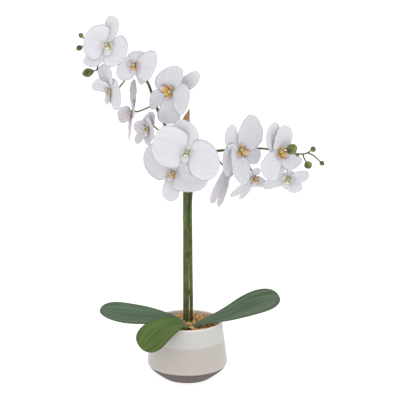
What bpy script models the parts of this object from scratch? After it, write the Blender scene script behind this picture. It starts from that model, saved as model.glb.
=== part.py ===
"""Potted moth orchid: a round two-tone pot, gravel, a stake, three leaves and two flowering spikes.

The origin is the centre of the pot's foot, on the surface that it stands on. +Z is up and the flowers
face -Y. Sizes are written in millimetres and degrees and are turned into metres where a mesh is made.
"""
import math
from dataclasses import dataclass

import bmesh
import bpy
import numpy as np
from mathutils import Matrix, Vector

MM = 0.001
CLEARANCE = 0.3

# Pot
POT_HEIGHT = 88.0
FOOT_RADIUS = 36.0
SHOULDER_RADIUS = 60.0
SHOULDER_HEIGHT = 24.0
RIM_RADIUS = 52.0
RIM_THICKNESS = 3.6
FLOOR_THICKNESS = 7.0
POT_STEPS = 40
FOOT_CHAMFER = 1.5
RIM_ROUNDING = 1.4
FLOOR_FILLET = 3.0
WALL_HEIGHTS = (27.0, 86.0)
BOWL_HEIGHTS = (85.5, 27.0, 20.0, 14.0, 9.5)

# Curve of the belly from the foot to the shoulder, as (radius, height)
POT_BELLY = (
    (FOOT_RADIUS, 0.8),
    (39.0, 2.6),
    (45.5, 7.4),
    (52.0, 12.6),
    (56.4, 17.0),
    (58.6, 20.2),
    (59.7, 23.0),
)

# Gravel
GRAVEL_TOP = 82.0
GRAVEL_DOME = 1.2
GRAVEL_EDGE_DROP = 1.5
GRAVEL_HEIGHTS = (10.5, 14.5, 20.5, 27.5)
GRAVEL_CREST_RADII = (18.0, 38.0)
CROWN_SOCKET_CENTRE = (4.0, -21.0)
CROWN_SOCKET_RADIUS = 16.5
CROWN_SOCKET_DEPTH = 10.0

# Stake and main stems
STAKE_FOOT = (-1.4, 17.4, 30.0)
STAKE_TOP = (-1.0, 17.2, 406.5)
STAKE_RADIUS = 5.0
STAKE_TIP_LENGTH = 14.0
STEM_SIDES = 8
BRANCH_SIDES = 6
STEM_FOOT_HEIGHT = 45.0
BRANCH_RADIUS = 1.2
BRANCH_STEPS = 3
STALK_APPROACH = (10.0, 4.0)

# Blooms
LAYER_THICKNESS = 0.8
LIP_THICKNESS = 0.9
HUB_RADIUS = 4.0
LIP_HUB_RADIUS = 3.0
SEPAL_DOCK = 28.0
PETAL_DOCK = 32.0
LIP_DOCK = 26.0
LIP_LAYER_HEIGHT = 2.3
LOBE_GAP = 1.5
LOBE_ROWS = 5
LOBE_COLUMNS = 4
LIP_ROWS = 4
LIP_COLUMNS = 2

# Leaves
LEAF_THICKNESS = 1.2
LEAF_ROWS = 12
LEAF_COLUMNS = 4
LEAF_LINE_STEPS = 6
LEAF_ROOT_HALF_WIDTH = 4.0

# Buds
BUD_RINGS = 7
BUD_SEGMENTS = 9


@dataclass(frozen=True)
class Lobe:
    """One lobe of a flower layer: angles in degrees, lengths in millimetres.

    turn is clockwise from the top of the flower, lift leans the lobe forward from the flower's plane at
    its root, curl adds to that on the way to its tip, cup bends its side edges forward, bank rolls it
    about its own length and skew slides its clockwise edge outward for each millimetre of half width.
    claw says how slowly it widens and blunt how late it narrows.
    """

    turn: float
    length: float
    width: float
    lift: float = 10.0
    curl: float = 0.0
    cup: float = 20.0
    bank: float = 0.0
    skew: float = 0.0
    claw: float = 0.45
    blunt: float = 2.8


@dataclass(frozen=True)
class Bloom:
    """One flower: where its hub is, the way it faces, and the lobes of its layers.

    facing is degrees to the right of -Y, tilt is degrees above the horizon and roll is clockwise.
    """

    name: str
    hub: tuple
    facing: float
    tilt: float
    roll: float
    sepals: tuple
    petals: tuple


@dataclass(frozen=True)
class Leaf:
    """A strap leaf along a route: lean is how far its blade rolls about that line, root to tip."""

    name: str
    route: tuple
    width: float
    lean: tuple
    fold: float
    claw: float = 0.9
    blunt: float = 5.0


@dataclass(frozen=True)
class Twig:
    """A side stalk that leaves the main stem at one of its route points, and the bud at its end."""

    knot: int
    route: tuple
    bud_name: str
    bud_length: float
    bud_radius: float


LIP_LOBES = (
    Lobe(turn=0.0, length=10.0, width=6.0, lift=62.0, curl=20.0, cup=40.0, claw=0.3),
    Lobe(turn=78.0, length=11.0, width=10.0, lift=60.0, curl=25.0, cup=25.0),
    Lobe(turn=180.0, length=20.0, width=12.0, lift=58.0, curl=-55.0, cup=25.0, claw=0.5, blunt=2.0),
    Lobe(turn=282.0, length=11.0, width=10.0, lift=60.0, curl=25.0, cup=25.0),
)

BLOOMS = (
    Bloom(
        name="left_bloom_1",
        hub=(-112.5, -24.0, 509.5),
        facing=-12.0,
        tilt=-4.0,
        roll=-4.0,
        sepals=(
            Lobe(turn=18.0, length=44.0, width=21.0, lift=2.0, skew=-0.2, claw=0.5, blunt=5.0),
            Lobe(turn=166.0, length=28.0, width=24.0, lift=2.0),
            Lobe(turn=228.0, length=45.0, width=23.0, lift=2.0, skew=0.4, claw=0.5, blunt=3.1),
        ),
        petals=(
            Lobe(turn=126.0, length=31.0, width=52.0, lift=10.0, claw=0.4, blunt=0.8),
            Lobe(turn=297.0, length=35.0, width=56.0, lift=14.0, claw=0.25, blunt=1.4),
        ),
    ),
    Bloom(
        name="left_bloom_2",
        hub=(-74.5, -18.0, 480.0),
        facing=-20.0,
        tilt=-14.0,
        roll=10.0,
        sepals=(
            Lobe(turn=12.0, length=24.0, width=26.0, lift=2.0, skew=0.4, claw=0.2, blunt=5.0),
            Lobe(turn=149.0, length=32.0, width=15.0, lift=-2.0, skew=0.5, claw=0.5, blunt=5.0),
            Lobe(turn=225.0, length=28.0, width=28.0, lift=2.0),
        ),
        petals=(
            Lobe(turn=73.0, length=37.0, width=51.0, lift=10.0, skew=-0.5, claw=0.5, blunt=3.4),
            Lobe(turn=236.0, length=30.0, width=30.0, lift=32.0, skew=-0.3, claw=0.2, blunt=1.6),
        ),
    ),
    Bloom(
        name="left_bloom_3",
        hub=(-110.0, -4.0, 438.0),
        facing=-60.0,
        tilt=0.0,
        roll=0.0,
        sepals=(
            Lobe(turn=356.0, length=42.0, width=48.0, lift=12.0, skew=0.2, claw=0.5, blunt=5.0),
            Lobe(turn=170.0, length=22.0, width=12.0, lift=-6.0),
            Lobe(turn=200.0, length=22.0, width=14.0, lift=12.0),
        ),
        petals=(
            Lobe(turn=94.0, length=35.0, width=44.0, lift=2.0, cup=10.0, skew=0.1, claw=0.2, blunt=3.2),
            Lobe(turn=301.0, length=29.0, width=24.0, lift=42.0, skew=-0.3, claw=0.5, blunt=5.0),
        ),
    ),
    Bloom(
        name="left_bloom_4",
        hub=(-79.5, 9.0, 404.5),
        facing=-76.0,
        tilt=0.0,
        roll=0.0,
        sepals=(
            Lobe(turn=17.0, length=51.0, width=22.0, lift=-2.0, bank=-13.0, skew=-0.5, claw=0.2),
            Lobe(turn=188.0, length=44.0, width=18.0, lift=6.0, bank=1.0, skew=-0.5, claw=0.2, blunt=0.8),
            Lobe(turn=230.0, length=30.0, width=16.0, lift=2.0),
        ),
        petals=(
            Lobe(turn=66.0, length=24.0, width=26.0, lift=2.0, cup=10.0),
            Lobe(turn=240.0, length=30.0, width=24.0, lift=39.0, skew=0.1, claw=0.3, blunt=3.1),
        ),
    ),
    Bloom(
        name="left_bloom_5",
        hub=(-22.0, -22.0, 441.0),
        facing=-36.0,
        tilt=0.0,
        roll=58.0,
        sepals=(
            Lobe(turn=2.0, length=55.0, width=22.0, lift=-5.0, skew=-0.5, claw=0.5, blunt=3.5),
            Lobe(turn=118.0, length=47.0, width=43.0, lift=10.0, skew=0.1, claw=0.5, blunt=5.0),
            Lobe(turn=184.0, length=43.0, width=25.0, lift=4.0, skew=-0.5, claw=0.5, blunt=5.0),
        ),
        petals=(
            Lobe(turn=47.0, length=38.0, width=49.0, lift=10.0, claw=0.5, blunt=5.0),
            Lobe(turn=309.0, length=40.0, width=52.0, lift=12.0, skew=0.5, claw=0.3),
        ),
    ),
    Bloom(
        name="left_bloom_6",
        hub=(-56.0, -24.0, 388.0),
        facing=-52.0,
        tilt=-6.0,
        roll=0.0,
        sepals=(
            Lobe(turn=27.0, length=29.0, width=23.0, lift=-3.0, skew=0.3, claw=0.2, blunt=1.1),
            Lobe(turn=176.0, length=26.0, width=20.0, lift=6.0, skew=0.3, claw=0.2, blunt=1.4),
            Lobe(turn=222.0, length=34.0, width=14.0, lift=18.0),
        ),
        petals=(
            Lobe(turn=74.0, length=26.0, width=34.0, lift=18.0),
            Lobe(turn=279.0, length=22.0, width=20.0, lift=39.0, skew=-0.1, claw=0.3, blunt=2.2),
        ),
    ),
    Bloom(
        name="front_bloom",
        hub=(0.3, -46.0, 356.5),
        facing=-4.0,
        tilt=2.0,
        roll=16.0,
        sepals=(
            Lobe(turn=340.0, length=48.0, width=37.0, lift=2.0, skew=-0.3, claw=0.5, blunt=2.0),
            Lobe(turn=138.0, length=36.0, width=26.0, lift=2.0),
            Lobe(turn=206.0, length=24.0, width=24.0, lift=2.0),
        ),
        petals=(
            Lobe(turn=96.0, length=52.0, width=57.0, lift=10.0, skew=0.2, claw=0.5, blunt=0.8),
            Lobe(turn=277.0, length=53.0, width=63.0, lift=12.0, skew=0.1, claw=0.2, blunt=3.6),
        ),
    ),
    Bloom(
        name="low_bloom",
        hub=(-20.5, -16.0, 318.5),
        facing=-6.0,
        tilt=0.0,
        roll=24.0,
        sepals=(
            Lobe(turn=2.0, length=16.0, width=18.0, lift=-4.0),
            Lobe(turn=112.0, length=30.0, width=22.0, lift=-2.0),
            Lobe(turn=162.0, length=43.0, width=25.0, lift=2.0, claw=0.4, blunt=3.2),
        ),
        petals=(
            Lobe(turn=81.0, length=53.0, width=43.0, lift=8.0, skew=-0.2, claw=0.3, blunt=1.0),
            Lobe(turn=291.0, length=54.0, width=48.0, lift=8.0, skew=0.2, claw=0.3, blunt=1.9),
        ),
    ),
    Bloom(
        name="right_bloom_1",
        hub=(76.0, -25.0, 355.0),
        facing=38.0,
        tilt=0.0,
        roll=-32.0,
        sepals=(
            Lobe(turn=354.0, length=40.0, width=30.0, lift=-0.0, skew=0.5, claw=0.5, blunt=4.3),
            Lobe(turn=148.0, length=40.0, width=26.0, lift=6.0, claw=0.5, blunt=2.0),
            Lobe(turn=269.0, length=32.0, width=45.0, lift=-14.0, skew=-0.5, claw=0.5, blunt=5.0),
        ),
        petals=(
            Lobe(turn=62.0, length=53.0, width=49.0, lift=10.0, skew=-0.3, claw=0.5, blunt=1.9),
            Lobe(turn=229.0, length=48.0, width=38.0, lift=20.0, skew=-0.5, claw=0.2, blunt=2.6),
        ),
    ),
    Bloom(
        name="right_bloom_2",
        hub=(60.5, 12.0, 320.0),
        facing=44.0,
        tilt=0.0,
        roll=8.0,
        sepals=(
            Lobe(turn=350.0, length=19.0, width=18.0, lift=4.0),
            Lobe(turn=194.0, length=60.0, width=16.0, lift=2.0, skew=-0.2, claw=0.4, blunt=1.9),
            Lobe(turn=223.0, length=65.0, width=18.0, lift=12.0, skew=-0.5, claw=0.5, blunt=5.0),
        ),
        petals=(
            Lobe(turn=66.0, length=26.0, width=26.0, lift=10.0),
            Lobe(turn=320.0, length=22.0, width=18.0, lift=10.0),
        ),
    ),
    Bloom(
        name="right_bloom_3",
        hub=(133.0, -25.0, 352.0),
        facing=40.0,
        tilt=0.0,
        roll=-30.0,
        sepals=(
            Lobe(turn=1.0, length=44.0, width=33.0, lift=2.0, skew=0.5, claw=0.4, blunt=4.2),
            Lobe(turn=160.0, length=42.0, width=28.0, lift=8.0, skew=-0.5, claw=0.5, blunt=3.8),
            Lobe(turn=205.0, length=34.0, width=24.0, lift=0.0),
        ),
        petals=(
            Lobe(turn=37.0, length=41.0, width=34.0, lift=10.0, claw=0.2, blunt=3.1),
            Lobe(turn=264.0, length=49.0, width=46.0, lift=14.0, skew=0.1, claw=0.5, blunt=4.0),
        ),
    ),
    Bloom(
        name="right_bloom_4",
        hub=(99.0, -6.0, 310.0),
        facing=18.0,
        tilt=-26.0,
        roll=0.0,
        sepals=(
            Lobe(turn=0.0, length=18.0, width=14.0, lift=6.0),
            Lobe(turn=202.0, length=43.0, width=11.0, lift=2.0, skew=0.5, claw=0.5, blunt=3.6),
            Lobe(turn=225.0, length=47.0, width=13.0, lift=2.0, claw=0.5, blunt=2.7),
        ),
        petals=(
            Lobe(turn=132.0, length=20.0, width=16.0, lift=20.0, skew=-0.1, claw=0.5, blunt=2.6),
            Lobe(turn=280.0, length=16.0, width=20.0, lift=20.0),
        ),
    ),
    Bloom(
        name="right_bloom_5",
        hub=(148.0, -14.0, 309.5),
        facing=-10.0,
        tilt=-10.0,
        roll=20.0,
        sepals=(
            Lobe(turn=0.0, length=14.0, width=14.0, lift=6.0),
            Lobe(turn=122.0, length=25.0, width=22.0, lift=6.0, skew=-0.1, claw=0.4, blunt=2.3),
            Lobe(turn=232.0, length=40.0, width=15.0, lift=2.0, skew=-0.5, claw=0.2, blunt=4.1),
        ),
        petals=(
            Lobe(turn=52.0, length=34.0, width=19.0, lift=14.0, skew=-0.5, claw=0.4, blunt=3.2),
            Lobe(turn=285.0, length=14.0, width=14.0, lift=16.0),
        ),
    ),
)

# Main stem routes: (x, y, z, radius), from the foot in the gravel to the tip
SPIKE_LEFT_ROUTE = (
    (-2.2, 8.0, STEM_FOOT_HEIGHT, 3.6),
    (-2.2, 8.0, 120.0, 3.6),
    (-2.0, 8.0, 200.0, 3.5),
    (-1.9, 8.0, 270.0, 3.4),
    (-5.0, 8.0, 315.0, 3.0),
    (-16.0, 8.0, 352.0, 2.7),
    (-32.0, 6.0, 385.0, 2.4),
    (-46.0, 4.0, 416.0, 2.1),
    (-57.0, 3.0, 449.0, 2.0),
    (-75.0, 6.0, 472.0, 1.8),
    (-99.0, 6.0, 488.0, 1.6),
    (-122.0, 6.0, 499.0, 1.4),
    (-141.0, 4.0, 507.0, 1.2),
)
SPIKE_RIGHT_ROUTE = (
    (6.1, 8.6, STEM_FOOT_HEIGHT, 2.3),
    (6.1, 8.6, 120.0, 2.3),
    (6.1, 8.6, 200.0, 2.3),
    (6.3, 8.4, 270.0, 2.3),
    (10.5, 8.0, 305.0, 2.2),
    (22.0, 8.0, 332.0, 2.1),
    (38.0, 6.0, 344.0, 2.0),
    (52.0, 4.0, 347.5, 1.9),
    (80.0, 7.0, 348.5, 1.7),
    (111.0, 9.0, 349.0, 1.5),
    (137.0, 10.0, 344.5, 1.4),
    (158.0, 9.0, 341.5, 1.2),
    (170.0, 8.0, 341.0, 1.1),
    (176.8, 7.0, 343.0, 1.0),
)

# The route point that each flower's stalk grows from
LEFT_STALKS = {
    "left_bloom_1": 10,
    "left_bloom_2": 8,
    "left_bloom_3": 9,
    "left_bloom_4": 7,
    "left_bloom_5": 6,
    "left_bloom_6": 5,
    "front_bloom": 4,
}
RIGHT_STALKS = {
    "low_bloom": 4,
    "right_bloom_1": 7,
    "right_bloom_2": 6,
    "right_bloom_3": 9,
    "right_bloom_4": 8,
    "right_bloom_5": 10,
}

LEFT_TWIGS = (
    Twig(
        knot=12,
        route=((-149.0, 2.0, 515.0),),
        bud_name="bud_left_1",
        bud_length=9.0,
        bud_radius=3.6,
    ),
    Twig(
        knot=12,
        route=((-150.0, 0.0, 503.0),),
        bud_name="bud_left_2",
        bud_length=11.0,
        bud_radius=4.2,
    ),
    Twig(
        knot=11,
        route=((-127.5, 4.0, 480.0), (-129.5, 3.0, 471.0), (-131.0, 2.0, 467.4), (-133.5, 1.0, 466.7)),
        bud_name="bud_left_3",
        bud_length=19.5,
        bud_radius=6.6,
    ),
)
RIGHT_TWIGS = (
    Twig(
        knot=11,
        route=((163.0, -8.0, 343.0), (160.0, -23.0, 346.0), (156.5, -27.0, 351.0)),
        bud_name="bud_right_1",
        bud_length=18.0,
        bud_radius=8.4,
    ),
    Twig(
        knot=13,
        route=((181.0, 5.0, 346.5),),
        bud_name="bud_right_2",
        bud_length=9.0,
        bud_radius=4.4,
    ),
    Twig(
        knot=12,
        route=((171.5, 6.0, 335.5), (174.0, 4.0, 331.5)),
        bud_name="bud_right_3",
        bud_length=13.0,
        bud_radius=6.2,
    ),
    Twig(
        knot=13,
        route=((185.5, 6.0, 339.0), (194.5, 5.0, 331.0)),
        bud_name="bud_right_4",
        bud_length=8.5,
        bud_radius=3.6,
    ),
)

LEAVES = (
    Leaf(
        name="leaf_left",
        route=(
            (-3.0, -18.0, 74.5),
            (-7.0, -18.0, 86.0),
            (-24.0, -19.0, 94.0),
            (-56.0, -20.0, 99.0),
            (-92.0, -22.0, 103.0),
            (-129.5, -22.0, 110.0),
        ),
        width=46.0,
        lean=(30.0, 18.0),
        fold=10.0,
        claw=1.2,
        blunt=2.4,
    ),
    Leaf(
        name="leaf_front",
        route=(
            (4.0, -27.0, 74.5),
            (1.0, -30.0, 86.0),
            (-15.0, -42.0, 95.0),
            (-36.0, -57.0, 91.0),
            (-54.0, -68.0, 79.0),
            (-66.0, -74.0, 67.0),
        ),
        width=46.0,
        lean=(10.0, 42.0),
        fold=10.0,
        claw=1.1,
        blunt=3.6,
    ),
    Leaf(
        name="leaf_right",
        route=(
            (10.0, -21.0, 74.5),
            (14.0, -21.0, 86.0),
            (36.0, -20.0, 94.0),
            (62.0, -16.0, 101.0),
            (98.0, -8.0, 113.0),
            (137.5, 0.0, 124.0),
        ),
        width=46.0,
        lean=(-18.0, -30.0),
        fold=12.0,
        claw=1.4,
        blunt=2.6,
    ),
)

PETAL_COLOUR = (0.82, 0.81, 0.84)
LIP_COLOUR = (0.82, 0.74, 0.55)
STEM_COLOUR = (0.10, 0.15, 0.04)
BUD_COLOUR = (0.12, 0.16, 0.04)
LEAF_COLOUR = (0.07, 0.14, 0.07)
STAKE_COLOUR = (0.40, 0.24, 0.12)
GRAVEL_COLOUR = (0.55, 0.33, 0.14)
POT_COLOUR = (0.66, 0.62, 0.58)


def clear_scene():
    """Remove whatever the scene holds."""
    for item in list(bpy.data.objects):
        bpy.data.objects.remove(item)


def material(name, colour, roughness):
    """Return a Principled BSDF material with one colour and roughness."""
    made = bpy.data.materials.new(name)
    made.use_nodes = True
    shader = made.node_tree.nodes["Principled BSDF"]
    shader.inputs["Base Color"].default_value = (*colour, 1.0)
    shader.inputs["Roughness"].default_value = roughness
    return made


def add_object(name, mesh, finish, parent=None):
    """Link an object for the mesh, give it its material and hang it on its parent."""
    item = bpy.data.objects.new(name, mesh)
    bpy.context.scene.collection.objects.link(item)
    if finish is not None:
        mesh.materials.append(finish)
    item.parent = parent
    return item


def mesh_from(name, points, faces, scale=MM):
    """Make a mesh from points in millimetres."""
    mesh = bpy.data.meshes.new(name)
    mesh.from_pydata([tuple(point) for point in np.asarray(points) * scale], [], faces)
    mesh.validate()
    return mesh


def shade(mesh, angle=40.0):
    """Shade the mesh smooth, with sharp edges above the angle."""
    mesh.shade_smooth()
    mesh.set_sharp_from_angle(angle=math.radians(angle))


def smooth_route(points, steps):
    """Run a Catmull-Rom curve through the rows of points, with the given steps in each span."""
    rows = np.asarray(points, dtype=float)
    padded = np.vstack([2.0 * rows[0] - rows[1], rows, 2.0 * rows[-1] - rows[-2]])
    out = []
    for index in range(len(rows) - 1):
        before, start, end, after = padded[index:index + 4]
        for step in range(steps):
            t = step / steps
            out.append(
                0.5
                * (
                    2.0 * start
                    + (end - before) * t
                    + (2.0 * before - 5.0 * start + 4.0 * end - after) * t**2
                    + (3.0 * start - before - 3.0 * end + after) * t**3
                )
            )
    out.append(rows[-1])
    return np.array(out)


def outline(along, width, claw, blunt):
    """Half width at each share of the length: it widens as a power of it and ends round."""
    fine = np.linspace(0.0, 1.0, 101)
    peak = np.max(fine**claw * np.sqrt(1.0 - fine**blunt))
    return along**claw * np.sqrt(np.clip(1.0 - along**blunt, 0.0, None)) * width / (2.0 * peak)


def unit(vectors):
    """Scale each row to length one."""
    return vectors / np.linalg.norm(vectors, axis=-1, keepdims=True)


def tube_mesh(name, centres, radii, sides):
    """Sweep a ring of the given radius along the centres, with flat end caps."""
    tangents = unit(np.gradient(centres, axis=0))
    across = np.cross(tangents[0], (0.0, 0.0, 1.0))
    if np.linalg.norm(across) < 0.1:
        across = np.cross(tangents[0], (0.0, 1.0, 0.0))
    across = across / np.linalg.norm(across)
    points = []
    for centre, tangent, radius in zip(centres, tangents, radii):
        across = across - tangent * np.dot(across, tangent)
        across = across / np.linalg.norm(across)
        up = np.cross(tangent, across)
        for side in range(sides):
            angle = 2.0 * math.pi * side / sides
            points.append(centre + radius * (math.cos(angle) * across + math.sin(angle) * up))
    faces = []
    for ring in range(len(centres) - 1):
        for side in range(sides):
            a = ring * sides + side
            b = ring * sides + (side + 1) % sides
            faces.append((a, b, b + sides, a + sides))
    last = (len(centres) - 1) * sides
    faces.append(tuple(reversed(range(sides))))
    faces.append(tuple(range(last, last + sides)))
    mesh = mesh_from(name, points, faces)
    shade(mesh)
    return mesh


def turned_mesh(name, profile, steps):
    """Spin a profile of (radius, height) pairs, from axis to axis, about the Z axis."""
    work = bmesh.new()
    chain = [work.verts.new((radius * MM, 0.0, height * MM)) for radius, height in profile]
    edges = [work.edges.new(pair) for pair in zip(chain, chain[1:])]
    bmesh.ops.spin(
        work,
        geom=chain + edges,
        cent=(0.0, 0.0, 0.0),
        axis=(0.0, 0.0, 1.0),
        angle=2.0 * math.pi,
        steps=steps,
        use_merge=True,
    )
    bmesh.ops.remove_doubles(work, verts=work.verts, dist=0.01 * MM)
    bmesh.ops.recalc_face_normals(work, faces=work.faces)
    mesh = bpy.data.meshes.new(name)
    work.to_mesh(mesh)
    work.free()
    shade(mesh)
    return mesh


def arc(centre, radius, start, end, count):
    """Return count (radius, height) pairs on an arc, angles in degrees from the outward radius."""
    angles = np.radians(np.linspace(start, end, count))
    return [(centre[0] + radius * math.cos(a), centre[1] + radius * math.sin(a)) for a in angles]


def wall_radius(height):
    """Radius of the straight outer wall above the shoulder, at a height."""
    share = (height - SHOULDER_HEIGHT) / (POT_HEIGHT - SHOULDER_HEIGHT)
    return SHOULDER_RADIUS + (RIM_RADIUS - SHOULDER_RADIUS) * share


def inner_radius(height):
    """Radius of the inside of the pot, at a height."""
    if height >= SHOULDER_HEIGHT:
        return wall_radius(height) - RIM_THICKNESS
    share = (SHOULDER_HEIGHT - height) / (SHOULDER_HEIGHT - FLOOR_THICKNESS)
    return (SHOULDER_RADIUS - RIM_THICKNESS) - share**2 * (SHOULDER_RADIUS - FOOT_RADIUS - 1.0)


def make_pot():
    """Make the pot: a chamfered foot, a rounded shoulder, a straight wall and a rounded rim."""
    outside = [(0.0, 0.0), (FOOT_RADIUS - FOOT_CHAMFER, 0.0), *POT_BELLY]
    outside += [(wall_radius(height), height) for height in WALL_HEIGHTS]
    middle = wall_radius(POT_HEIGHT) - RIM_THICKNESS / 2.0
    rim = arc((middle, POT_HEIGHT - RIM_ROUNDING), RIM_ROUNDING, 60.0, 120.0, 3)
    inside = [(inner_radius(height), height) for height in BOWL_HEIGHTS]
    floor = [(inner_radius(FLOOR_THICKNESS + 1.0) - FLOOR_FILLET, FLOOR_THICKNESS), (0.0, FLOOR_THICKNESS)]
    mesh = turned_mesh("pot", outside + rim + inside + floor, POT_STEPS)
    return add_object("pot", mesh, material("glazed_stoneware", POT_COLOUR, 0.45))


def make_cutter(name, mesh):
    """Add a cutting tool that is left out of the part."""
    tool = add_object(name, mesh, None)
    tool.hide_render = True
    tool.display_type = "WIRE"
    return tool


def cut(target, tool, operation="DIFFERENCE"):
    """Apply one mesh to another with a Boolean modifier."""
    modifier = target.modifiers.new(tool.name, "BOOLEAN")
    modifier.operation = operation
    modifier.solver = "EXACT"
    modifier.object = tool


def round_socket(name, centre, radius, floor):
    """Make a round cutter from a floor height up to above the gravel."""
    centres = np.array([(centre[0], centre[1], floor), (centre[0], centre[1], POT_HEIGHT + 20.0)])
    return make_cutter(name, tube_mesh(name, centres, (radius, radius), 20))


def make_gravel():
    """Make the gravel filling, with sockets for the stake, the two stems and the leaf bases."""
    gap = CLEARANCE
    bottom = FLOOR_THICKNESS + gap
    shoulder = GRAVEL_TOP - GRAVEL_EDGE_DROP
    crest = GRAVEL_TOP + GRAVEL_DOME
    profile = [(0.0, bottom), (inner_radius(FLOOR_THICKNESS + 1.0) - FLOOR_FILLET - 1.0, bottom)]
    profile += [(inner_radius(height) - 2.0 * gap, height) for height in (*GRAVEL_HEIGHTS, shoulder)]
    profile += [(GRAVEL_CREST_RADII[1], GRAVEL_TOP), (GRAVEL_CREST_RADII[0], crest), (0.0, crest)]
    mesh = turned_mesh("potting_gravel", profile, 32)
    gravel = add_object("potting_gravel", mesh, material("stone_chips", GRAVEL_COLOUR, 0.9))
    stake = STAKE_FOOT
    cut(gravel, round_socket("stake_socket", stake, STAKE_RADIUS + 2.0 * gap, stake[2] - gap))
    for name, route in (("left_stem_socket", SPIKE_LEFT_ROUTE), ("right_stem_socket", SPIKE_RIGHT_ROUTE)):
        x, y, z, radius = route[0]
        cut(gravel, round_socket(name, (x, y), radius + gap + 0.1, z - gap))
    floor = GRAVEL_TOP - CROWN_SOCKET_DEPTH
    cut(gravel, round_socket("crown_socket", CROWN_SOCKET_CENTRE, CROWN_SOCKET_RADIUS, floor))
    return gravel


def make_stake():
    """Make the bamboo stake, with a slanted wedge at its top."""
    foot = np.array(STAKE_FOOT)
    top = np.array(STAKE_TOP)
    share = 1.0 - STAKE_TIP_LENGTH / np.linalg.norm(top - foot)
    centres = np.array([foot, foot + (top - foot) * share, top])
    mesh = tube_mesh("bamboo_stake", centres, (STAKE_RADIUS, STAKE_RADIUS, 0.9), 14)
    return add_object("bamboo_stake", mesh, material("bamboo", STAKE_COLOUR, 0.6))


def make_leaf(leaf):
    """Make one leaf: a sheet swept along its centreline, folded at the midrib, then thickened."""
    line = smooth_route(leaf.route, LEAF_LINE_STEPS)
    lengths = np.concatenate([[0.0], np.cumsum(np.linalg.norm(np.diff(line, axis=0), axis=1))])
    along = np.sin(0.5 * math.pi * np.arange(LEAF_ROWS + 1) / LEAF_ROWS)
    centres = np.column_stack([np.interp(along * lengths[-1], lengths, line[:, axis]) for axis in range(3)])
    half = outline(along, leaf.width, leaf.claw, leaf.blunt) + LEAF_ROOT_HALF_WIDTH * (1.0 - along) ** 2
    tangents = unit(np.gradient(centres, axis=0))
    level = unit(np.cross(tangents, np.array((0.0, 0.0, 1.0))))
    up = np.cross(level, tangents)
    lean = np.radians(leaf.lean[0] + (leaf.lean[1] - leaf.lean[0]) * along)[:, None]
    across = np.cos(lean) * level + np.sin(lean) * up
    normal = np.cross(across, tangents)
    columns = np.linspace(-1.0, 1.0, LEAF_COLUMNS + 1)
    fold = math.tan(math.radians(leaf.fold))
    points = []
    for row in range(LEAF_ROWS):
        for column in columns:
            offset = column * half[row]
            points.append(centres[row] + across[row] * offset + normal[row] * abs(offset) * fold)
    points.append(centres[-1])
    width = len(columns)
    faces = []
    for row in range(LEAF_ROWS - 1):
        for column in range(LEAF_COLUMNS):
            a = row * width + column
            faces.append((a, a + 1, a + 1 + width, a + width))
    last = (LEAF_ROWS - 1) * width
    for column in range(LEAF_COLUMNS):
        faces.append((last + column, last + column + 1, len(points) - 1))
    mesh = mesh_from(leaf.name, points, faces)
    shade(mesh)
    item = add_object(leaf.name, mesh, material(leaf.name + "_green", LEAF_COLOUR, 0.5))
    thicken(item, LEAF_THICKNESS)
    return item


def thicken(item, thickness):
    """Give a sheet its thickness, half on each side."""
    modifier = item.modifiers.new("thickness", "SOLIDIFY")
    modifier.thickness = thickness * MM
    modifier.offset = 0.0


def rooms(lobes):
    """Half of the angle that each lobe has to itself beside its nearest neighbour, in degrees."""
    turns = [lobe.turn % 360.0 for lobe in lobes]
    gaps = [min((a - b) % 360.0 for b in turns if b != a) for a in turns]
    gaps_after = [min((b - a) % 360.0 for b in turns if b != a) for a in turns]
    return [min(gap, after) / 2.0 - LOBE_GAP for gap, after in zip(gaps, gaps_after)]


def lobe_points(lobe, room, hub_radius, dock, row_count, column_count):
    """Points of a lobe's middle surface, row by row from its root, ending in its tip point."""
    along = np.sin(0.5 * math.pi * np.arange(row_count + 1) / row_count)
    turn = math.radians(lobe.turn)
    out = np.array((math.sin(turn), math.cos(turn), 0.0))
    side = np.array((math.cos(turn), -math.sin(turn), 0.0))
    front = np.array((0.0, 0.0, 1.0))
    span = lobe.length - hub_radius
    centre = out * hub_radius
    dock = min(dock, room)
    half = outline(along, lobe.width, lobe.claw, lobe.blunt)
    half += hub_radius * math.sin(math.radians(dock)) * (1.0 - along) ** 3
    half = np.minimum(half, (hub_radius + span * along) * math.sin(math.radians(min(room, 90.0))))
    bend = math.radians(lobe.cup) / (lobe.width / 2.0)
    columns = np.linspace(-1.0, 1.0, column_count + 1)
    rows = []
    for column in columns:
        angle = turn + math.radians(dock) * column
        rows.append(hub_radius * np.array((math.sin(angle), math.cos(angle), 0.0)))
    for index in range(1, row_count + 1):
        step = span * (along[index] - along[index - 1])
        middle = 0.5 * (along[index] + along[index - 1])
        slope = math.radians(lobe.lift + lobe.curl * middle)
        centre = centre + step * (math.cos(slope) * out + math.sin(slope) * front)
        if index == row_count:
            rows.append(centre)
            break
        normal = math.cos(slope) * front - math.sin(slope) * out
        roll = math.radians(lobe.bank) * min(1.0, along[index] / 0.5)
        across = math.cos(roll) * side + math.sin(roll) * normal
        facing = math.cos(roll) * normal - math.sin(roll) * side
        for column in columns:
            swing = bend * column * half[index]
            slide = lobe.skew * column * half[index]
            rows.append(
                centre
                + across * math.sin(swing) / bend
                + facing * (1.0 - math.cos(swing)) / bend
                + (math.cos(slope) * out + math.sin(slope) * front) * slide
            )
    return rows


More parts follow.
